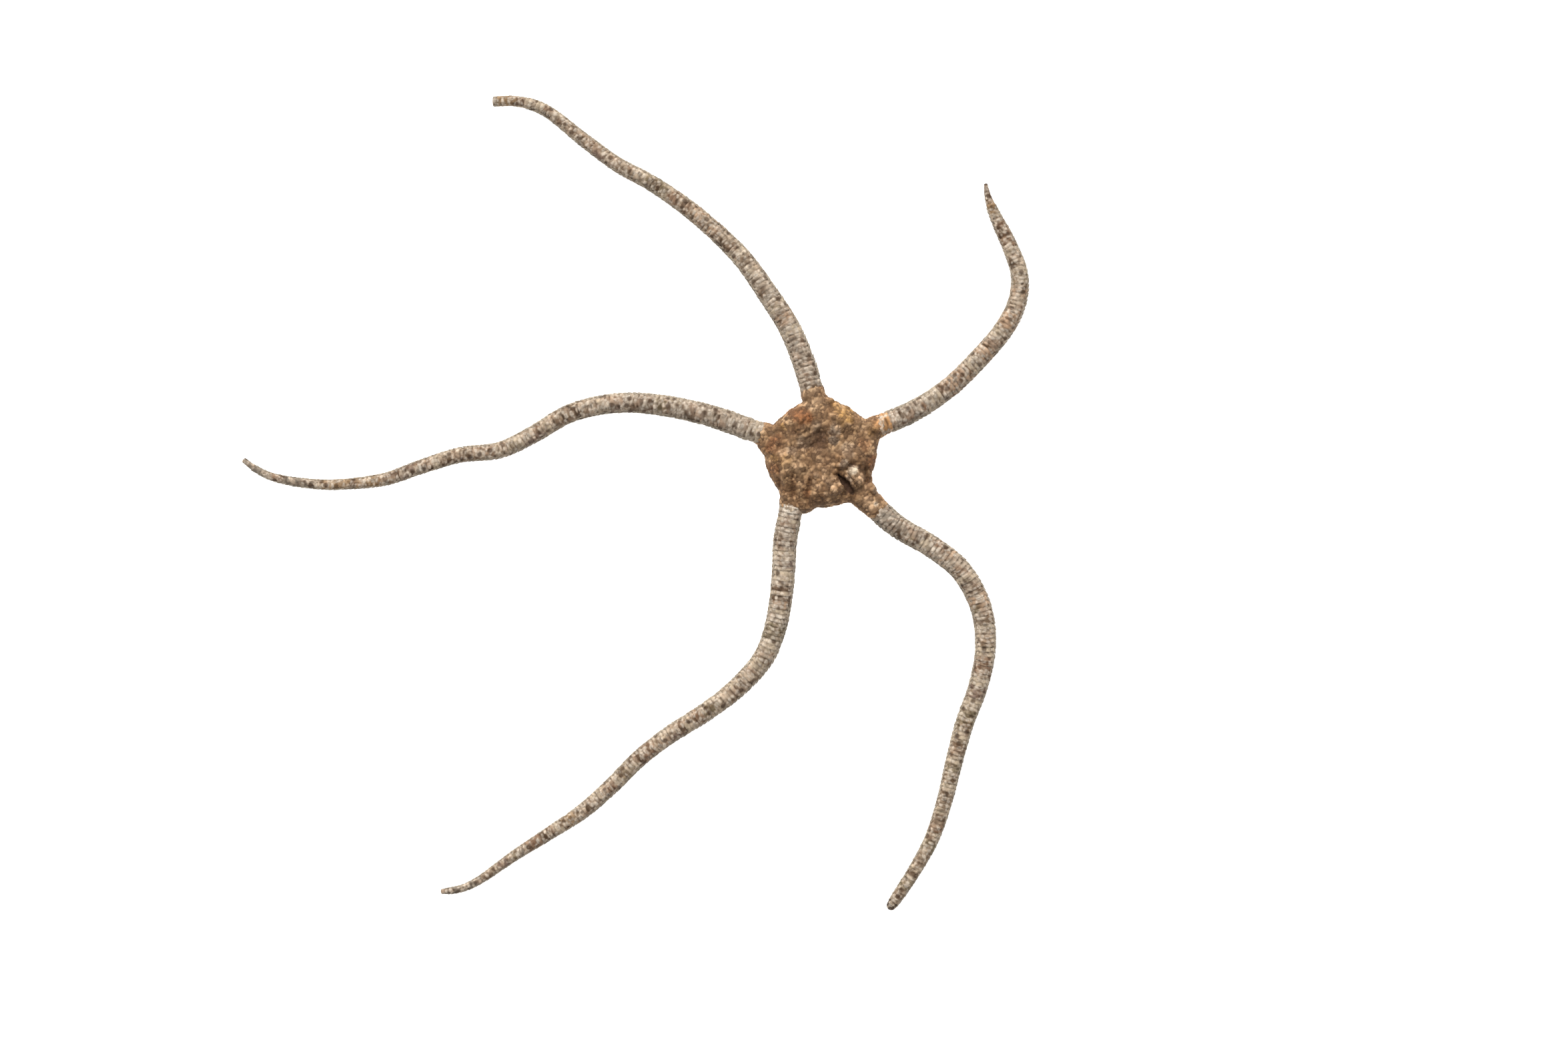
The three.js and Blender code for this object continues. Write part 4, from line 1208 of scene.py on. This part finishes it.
def carved_underside(spot):
    """How far the underside is hollowed there, between jaws, shields and arm plates"""
    azimuth = math.atan2(spot.y, spot.x)
    reach = math.hypot(spot.x, spot.y)
    turns = [(azimuth - arm_direction(arm) + math.pi) % math.tau - math.pi for arm in ARMS.values()]
    turn = min(turns, key=abs)
    beside = abs(math.sin(turn)) * reach
    plate = abs((reach / UNDER_PLATE) % 1 - 0.5) * 2
    under_arm = 1 - smooth(*UNDER_ARM_EDGE, beside)
    plates = under_arm * smooth(*UNDER_ARM_FROM, reach) * smooth(0.0, UNDER_SEAM, plate)
    away = (math.pi / len(ARMS) - abs(turn)) * reach
    shield = hump(reach, SHIELD_AT, SHIELD_LONG) * hump(away, 0, SHIELD_WIDE)
    jaw = (1 - smooth(*JAW_TO, reach)) * smooth(*JAW_BESIDE, beside)
    raised = max(plates, min(SHIELD_RISE * shield, 1), jaw)
    return (UNDER_DEPTH + max(spots(spot, *UNDER_SOFT), 0)) * (1 - raised)


def shape_disc(bm, paints):
    """Moves each point of the joined skin to give it its dents, folds and granules"""
    paint = bm.verts.layers.float_color.new("paint")
    gaps = bm.verts.layers.float.new("gap")
    bm.normal_update()
    normals = [vert.normal.copy() for vert in bm.verts]
    for vert, normal in zip(bm.verts, normals):
        spot = vert.co.copy()
        back = smooth(*BACK_FADES, normal.z)
        for x, y, radius, depth in DENTS:
            away = math.hypot(spot.x - x, spot.y - y) / radius
            if away < DENT_REACH:
                spot.z -= back * depth * hump(away, 0, 1)
        azimuth = math.atan2(spot.y, spot.x)
        reach = math.hypot(spot.x, spot.y)
        place = Vector((azimuth * WRINKLES_AROUND, reach * WRINKLE_LONG, 1))
        wrinkle = WRINKLE * noise.noise(place) * smooth(*WRINKLES_FROM, reach)
        folded = sum(fold[-1] * fold_at(fold, spot) for fold in FOLDS)
        lumps = spots(spot, *BROAD_LUMPS) + spots(spot, *SMALL_LUMPS)
        height, gap, tone = granule_at(spot)
        fine = 1 - min(noise.voronoi(spot / FINE_GRANULE)[0][0] / GRANULE_ROUND, 1) ** 2
        on_back = smooth(*UNDERSIDE_FADES, normal.z)
        granules = GRANULE_RISE * height + FINE_GRANULE_RISE * fine
        x, y, radius = SMOOTH_ROOT
        granules *= 1 - SMOOTHED * hump(math.hypot(spot.x - x, spot.y - y), 0, radius)
        granules *= GRANULES_BELOW + (1 - GRANULES_BELOW) * on_back
        moved = spot + normal * ((wrinkle + lumps) * on_back + granules)
        moved.z += folded * back
        if normal.z < -0.5 and spot.z < 1:
            moved.z += carved_underside(spot)
        moved.z = max(moved.z, 0.0)
        vert.co = moved
        vert[gaps] = gap
        vert[paint] = (*disc_colour(paints, spot, tone, height, folded, normal.z), 1)


def add_node(tree, kind, inputs=None, **settings):
    """Adds one node with its settings, and sets or links its inputs"""
    made = tree.nodes.new(kind)
    for name, value in settings.items():
        setattr(made, name, value)
    for socket, value in (inputs or {}).items():
        if isinstance(value, bpy.types.NodeSocket):
            tree.links.new(value, made.inputs[socket])
        else:
            made.inputs[socket].default_value = value
    return made


def new_material(name):
    """An empty node material and its shader"""
    material = bpy.data.materials.new(name)
    material.use_nodes = True
    tree = material.node_tree
    tree.nodes.clear()
    shader = add_node(tree, "ShaderNodeBsdfPrincipled")
    add_node(tree, "ShaderNodeOutputMaterial", {"Surface": shader.outputs["BSDF"]})
    return material, tree, shader


def per_mm(size):
    """Scale of a pattern whose features are this many millimetres across"""
    return 1 / (size * MM)


def mottled_paint(tree, place, detail, roughness, darkest, lightest):
    """The painted colour in darker and lighter spots, and the spots alone"""
    paint = add_node(tree, "ShaderNodeAttribute", attribute_name="paint").outputs["Color"]
    mottle = add_node(tree, "ShaderNodeTexNoise", {
        "Vector": place, "Scale": per_mm(MOTTLE), "Detail": detail, "Roughness": roughness,
    }).outputs["Fac"]
    shade = add_node(tree, "ShaderNodeMapRange", {
        "Value": mottle, "From Min": 0.3, "From Max": 0.7, "To Min": darkest, "To Max": lightest,
    })
    mottled = add_node(tree, "ShaderNodeVectorMath", {
        0: paint, "Scale": shade.outputs["Result"],
    }, operation="SCALE")
    return mottled.outputs["Vector"], mottle


def roughen(tree, place, shader, strength, depth):
    """Gives a shader the fine grain of bare calcite, this many millimetres deep"""
    grain = add_node(tree, "ShaderNodeTexNoise", {
        "Vector": place, "Scale": per_mm(GRAIN), "Detail": 3.0, "Roughness": 0.6,
    })
    bump = add_node(tree, "ShaderNodeBump", {
        "Height": grain.outputs["Fac"], "Strength": strength, "Distance": depth * MM,
    })
    tree.links.new(bump.outputs["Normal"], shader.inputs["Normal"])
    shader.inputs["Specular IOR Level"].default_value = CALCITE_SPECULAR


def sun_dried_calcite_plates(painted_shade):
    """Dried brittle star plates: porous calcite left by the sea, with painted shade in its seams and
    pores.
    The eye sees a chalky, matt surface with fine mottling, dark pores and dark seams."""
    material, tree, shader = new_material("sun_dried_calcite_plates")
    place = add_node(tree, "ShaderNodeTexCoord").outputs["Object"]
    seam = add_node(tree, "ShaderNodeAttribute", attribute_name="seam").outputs["Fac"]
    mottled, mottle = mottled_paint(
        tree, place, detail=4.0, roughness=0.6, darkest=0.8, lightest=1.18)
    pores = add_node(tree, "ShaderNodeTexNoise", {
        "Vector": place, "Scale": per_mm(PORE), "Detail": 2.0, "Roughness": 0.5,
    })
    # The pores are painted dark in the seams' colour, as painted shade in the calcite's holes
    pitted = add_node(tree, "ShaderNodeMapRange", {
        "Value": pores.outputs["Fac"], "From Min": 0.58, "From Max": 0.72, "To Min": 0.0,
        "To Max": 0.35,
    })
    with_pores = add_node(tree, "ShaderNodeMix", {
        0: pitted.outputs["Result"], MIX_A: mottled, MIX_B: (*painted_shade, 1),
    }, data_type="RGBA")
    # The seams take painted shade, by the amount that the mesh holds in its seam attribute
    seam_darkness = add_node(tree, "ShaderNodeMapRange", {
        "Value": seam, "From Min": 0.1, "From Max": 1.0, "To Min": 0.0, "To Max": 0.65,
    })
    coloured = add_node(tree, "ShaderNodeMix", {
        0: seam_darkness.outputs["Result"], MIX_A: with_pores.outputs[MIX_RESULT], MIX_B: (*painted_shade, 1),
    }, data_type="RGBA")
    dry = add_node(tree, "ShaderNodeMapRange", {
        "Value": mottle, "From Min": 0.3, "From Max": 0.7, "To Min": 0.72, "To Max": 0.9,
    })
    tree.links.new(coloured.outputs[MIX_RESULT], shader.inputs["Base Color"])
    tree.links.new(dry.outputs["Result"], shader.inputs["Roughness"])
    roughen(tree, place, shader, strength=0.5, depth=0.06)
    return material


def dried_granular_skin(gap_shade):
    """Dried brittle star skin: leathery, set with calcite granules and shrunk as it dried.
    The eye sees matt brown granules with light tops and dark gaps between them."""
    material, tree, shader = new_material("dried_granular_skin")
    place = add_node(tree, "ShaderNodeTexCoord").outputs["Object"]
    gap = add_node(tree, "ShaderNodeAttribute", attribute_name="gap").outputs["Fac"]
    mottled, _ = mottled_paint(
        tree, place, detail=3.0, roughness=0.55, darkest=0.74, lightest=1.28)
    # The gaps between granules are painted darker, as painted shade
    open_gap = add_node(tree, "ShaderNodeMapRange", {
        "Value": gap, "From Min": 0.15, "From Max": 1.0, "To Min": 0.0, "To Max": 0.72,
    })
    coloured = add_node(tree, "ShaderNodeMix", {
        0: open_gap.outputs["Result"], MIX_A: mottled, MIX_B: (*gap_shade, 1),
    }, data_type="RGBA")
    tree.links.new(coloured.outputs[MIX_RESULT], shader.inputs["Base Color"])
    shader.inputs["Roughness"].default_value = 0.8
    roughen(tree, place, shader, strength=0.6, depth=0.08)
    return material


def white_table(colour, brightness):
    """A white sheet lit from below as well, so that shadows on it stay faint"""
    material, tree, shader = new_material("white_table")
    shader.inputs["Base Color"].default_value = (*colour, 1)
    shader.inputs["Roughness"].default_value = 0.9
    shader.inputs["Emission Color"].default_value = (1, 1, 1, 1)
    shader.inputs["Emission Strength"].default_value = brightness
    return material


def colour_setting(name, description, hex_value):
    """A colour that the user can change"""
    return FloatVectorProperty(
        name=name, description=description, subtype="COLOR", size=3, min=0, max=1,
        default=tuple(linear(hex_value)))


class StarArms(bpy.types.PropertyGroup):
    """Sizes of the arms' small parts and main colours of the arms"""

    COLOURS = ("cream", "beige", "belly")

    segment_at_root: FloatProperty(
        name="Segment at disc", description="Length of an arm segment beside the disc",
        default=0.88 * MM, min=0.3 * MM, max=3 * MM, precision=5, unit="LENGTH")
    segment_at_tip: FloatProperty(
        name="Segment at tip", description="Length of an arm segment at an arm's end",
        default=0.7 * MM, min=0.3 * MM, max=3 * MM, precision=5, unit="LENGTH")
    spine_radius: FloatProperty(
        name="Spine radius", description="Radius of a side spine at its foot",
        default=0.13 * MM, min=0.02 * MM, max=0.5 * MM, precision=5, unit="LENGTH")
    cream: colour_setting("Plates", "Main colour of the arms' plates", "#cdb79e")
    beige: colour_setting("Plates' mottle", "Darker colour that mottles the plates", "#7c634a")
    belly: colour_setting("Underside", "Colour of the arms' underside", "#c6b69f")
    # Colour of the painted shade in the seams and pores
    painted_shade: colour_setting("Seams", "Colour of the dirt in the seams and pores", "#4e3a26")


class StarDisc(bpy.types.PropertyGroup):
    """Seed and main colours of the disc"""

    COLOURS = ("base", "light", "belly", "crack")

    seed: IntProperty(name="Seed", description="Picks another set of small variations", default=4)
    base: colour_setting("Skin", "Main colour of the disc's skin", "#93704f")
    light: colour_setting("Skin's mottle", "Lighter colour that mottles the skin", "#ae8c68")
    belly: colour_setting("Underside", "Colour of the disc's underside", "#b7a284")
    # The crack's painted shade and the painted shade in the gaps between granules take this colour
    crack: colour_setting("Gaps", "Colour of the crack and of the gaps between granules", "#472f1e")


class StarStage(bpy.types.PropertyGroup):
    """Camera, table and light"""

    camera_height: FloatProperty(
        name="Camera height", description="Height of the camera above the table",
        default=1.2, min=0.3, max=5, unit="LENGTH")
    table: colour_setting("Table", "Colour of the table", "#eeeeee")
    table_glow: FloatProperty(
        name="Table glow", description="Light that the table gives off", default=0.95, min=0, max=2)
    sky: FloatProperty(
        name="Soft light", description="Strength of the light from all around", default=0.35,
        min=0, max=3)
    sun: FloatProperty(
        name="Main light", description="Strength of the soft main light", default=3.3, min=0,
        max=10)


class STAR_OT_add_disc(bpy.types.Operator):
    """Adds the disc with its lobes, roots, crack, granules and underside"""

    bl_idname = "mesh.star_add_disc"
    bl_label = "Add Disc"

    def execute(self, context):
        bm = bmesh.new()
        joined = grown_together()
        bm.from_mesh(joined)
        bpy.data.meshes.remove(joined)
        paints = all_paints(DISC_COLOURS, context.scene.star_disc)
        shape_disc(bm, paints)
        disc = add_object(bm, "granular_disc", dried_granular_skin(paints["crack"]))
        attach(disc, "root")
        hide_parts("disc")
        return {"FINISHED"}


class STAR_OT_add_arms(bpy.types.Operator):
    """Adds the five arms with their plates and side spines"""

    bl_idname = "mesh.star_add_arms"
    bl_label = "Add Arms"

    def execute(self, context):
        settings = context.scene.star_arms
        paints = all_paints(ARM_COLOURS, settings)
        material = sun_dried_calcite_plates(settings.painted_shade)
        for number, (name, arm) in enumerate(ARMS.items()):
            draw = random.Random(context.scene.star_disc.seed + number)
            route = Route(arm["route"])
            segments = arm_segments(arm, route, draw)
            bm = arm_body(paints, arm, MARKS[name], route, segments, number)
            add_copy(bm, side_spines(paints, arm, MARKS[name], route, segments, number, draw))
            piece = add_object(bm, "ringed_" + name, material)
            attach(piece, "root")
            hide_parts(name)
        return {"FINISHED"}


class STAR_OT_add_stage(bpy.types.Operator):
    """Adds the pale table, the light and the camera"""

    bl_idname = "object.star_add_stage"
    bl_label = "Add Stage"

    def execute(self, context):
        scene = context.scene
        settings = scene.star_stage
        bm = bmesh.new()
        bmesh.ops.create_grid(bm, x_segments=1, y_segments=1, size=TABLE_SIZE / MM)
        table = add_object(bm, "table", white_table(settings.table, settings.table_glow))
        world = bpy.data.worlds.new("soft_light")
        world.use_nodes = True
        sky = world.node_tree.nodes["Background"]
        sky.inputs["Color"].default_value = (1, 1, 1, 1)
        sky.inputs["Strength"].default_value = settings.sky
        scene.world = world
        light = bpy.data.lights.new("main_light", "SUN")
        light.energy = settings.sun
        light.angle = math.radians(LIGHT_ANGLE)
        lamp = bpy.data.objects.new("main_light", light)
        lamp.rotation_euler = (math.radians(LIGHT_TILT), 0, math.radians(LIGHT_TURN))
        scene.collection.objects.link(lamp)
        data = bpy.data.cameras.new("camera")
        data.sensor_width = SENSOR_WIDTH
        data.lens = SENSOR_WIDTH * settings.camera_height / (PHOTO_WIDTH_PX * MM_PER_PX * MM)
        data.clip_end = CAMERA_SEES
        camera = bpy.data.objects.new("camera", data)
        x = (PHOTO_MIDDLE_PX[0] - DISC_MIDDLE_PX[0]) * MM_PER_PX * MM
        y = (DISC_MIDDLE_PX[1] - PHOTO_MIDDLE_PX[1]) * MM_PER_PX * MM
        camera.location = (x, y, settings.camera_height)
        scene.collection.objects.link(camera)
        scene.camera = camera
        scene.view_settings.view_transform = "Standard"
        return {"FINISHED"}


class STAR_PT_panel(bpy.types.Panel):
    """Lists the star's settings and the operators that build it"""

    bl_idname = "STAR_PT_panel"
    bl_label = "Brittle Star"
    bl_space_type = "VIEW_3D"
    bl_region_type = "UI"
    bl_category = "Brittle Star"

    def draw(self, context):
        scene = context.scene
        for settings in (scene.star_arms, scene.star_disc, scene.star_stage):
            box = self.layout.box()
            for name in settings.__annotations__:
                box.prop(settings, name)
        for operator in (STAR_OT_add_disc, STAR_OT_add_arms, STAR_OT_add_stage):
            self.layout.operator(operator.bl_idname)


CLASSES = (
    StarArms, StarDisc, StarStage, STAR_OT_add_disc, STAR_OT_add_arms, STAR_OT_add_stage,
    STAR_PT_panel,
)


def register():
    for cls in CLASSES:
        bpy.utils.register_class(cls)
    bpy.types.Scene.star_arms = PointerProperty(type=StarArms)
    bpy.types.Scene.star_disc = PointerProperty(type=StarDisc)
    bpy.types.Scene.star_stage = PointerProperty(type=StarStage)


def unregister():
    del bpy.types.Scene.star_arms
    del bpy.types.Scene.star_disc
    del bpy.types.Scene.star_stage
    for cls in reversed(CLASSES):
        bpy.utils.unregister_class(cls)


def main():
    """Builds the star and its stage"""
    register()
    bpy.ops.mesh.star_add_disc()
    bpy.ops.mesh.star_add_arms()
    bpy.ops.object.star_add_stage()


if __name__ == "__main__":
    main()
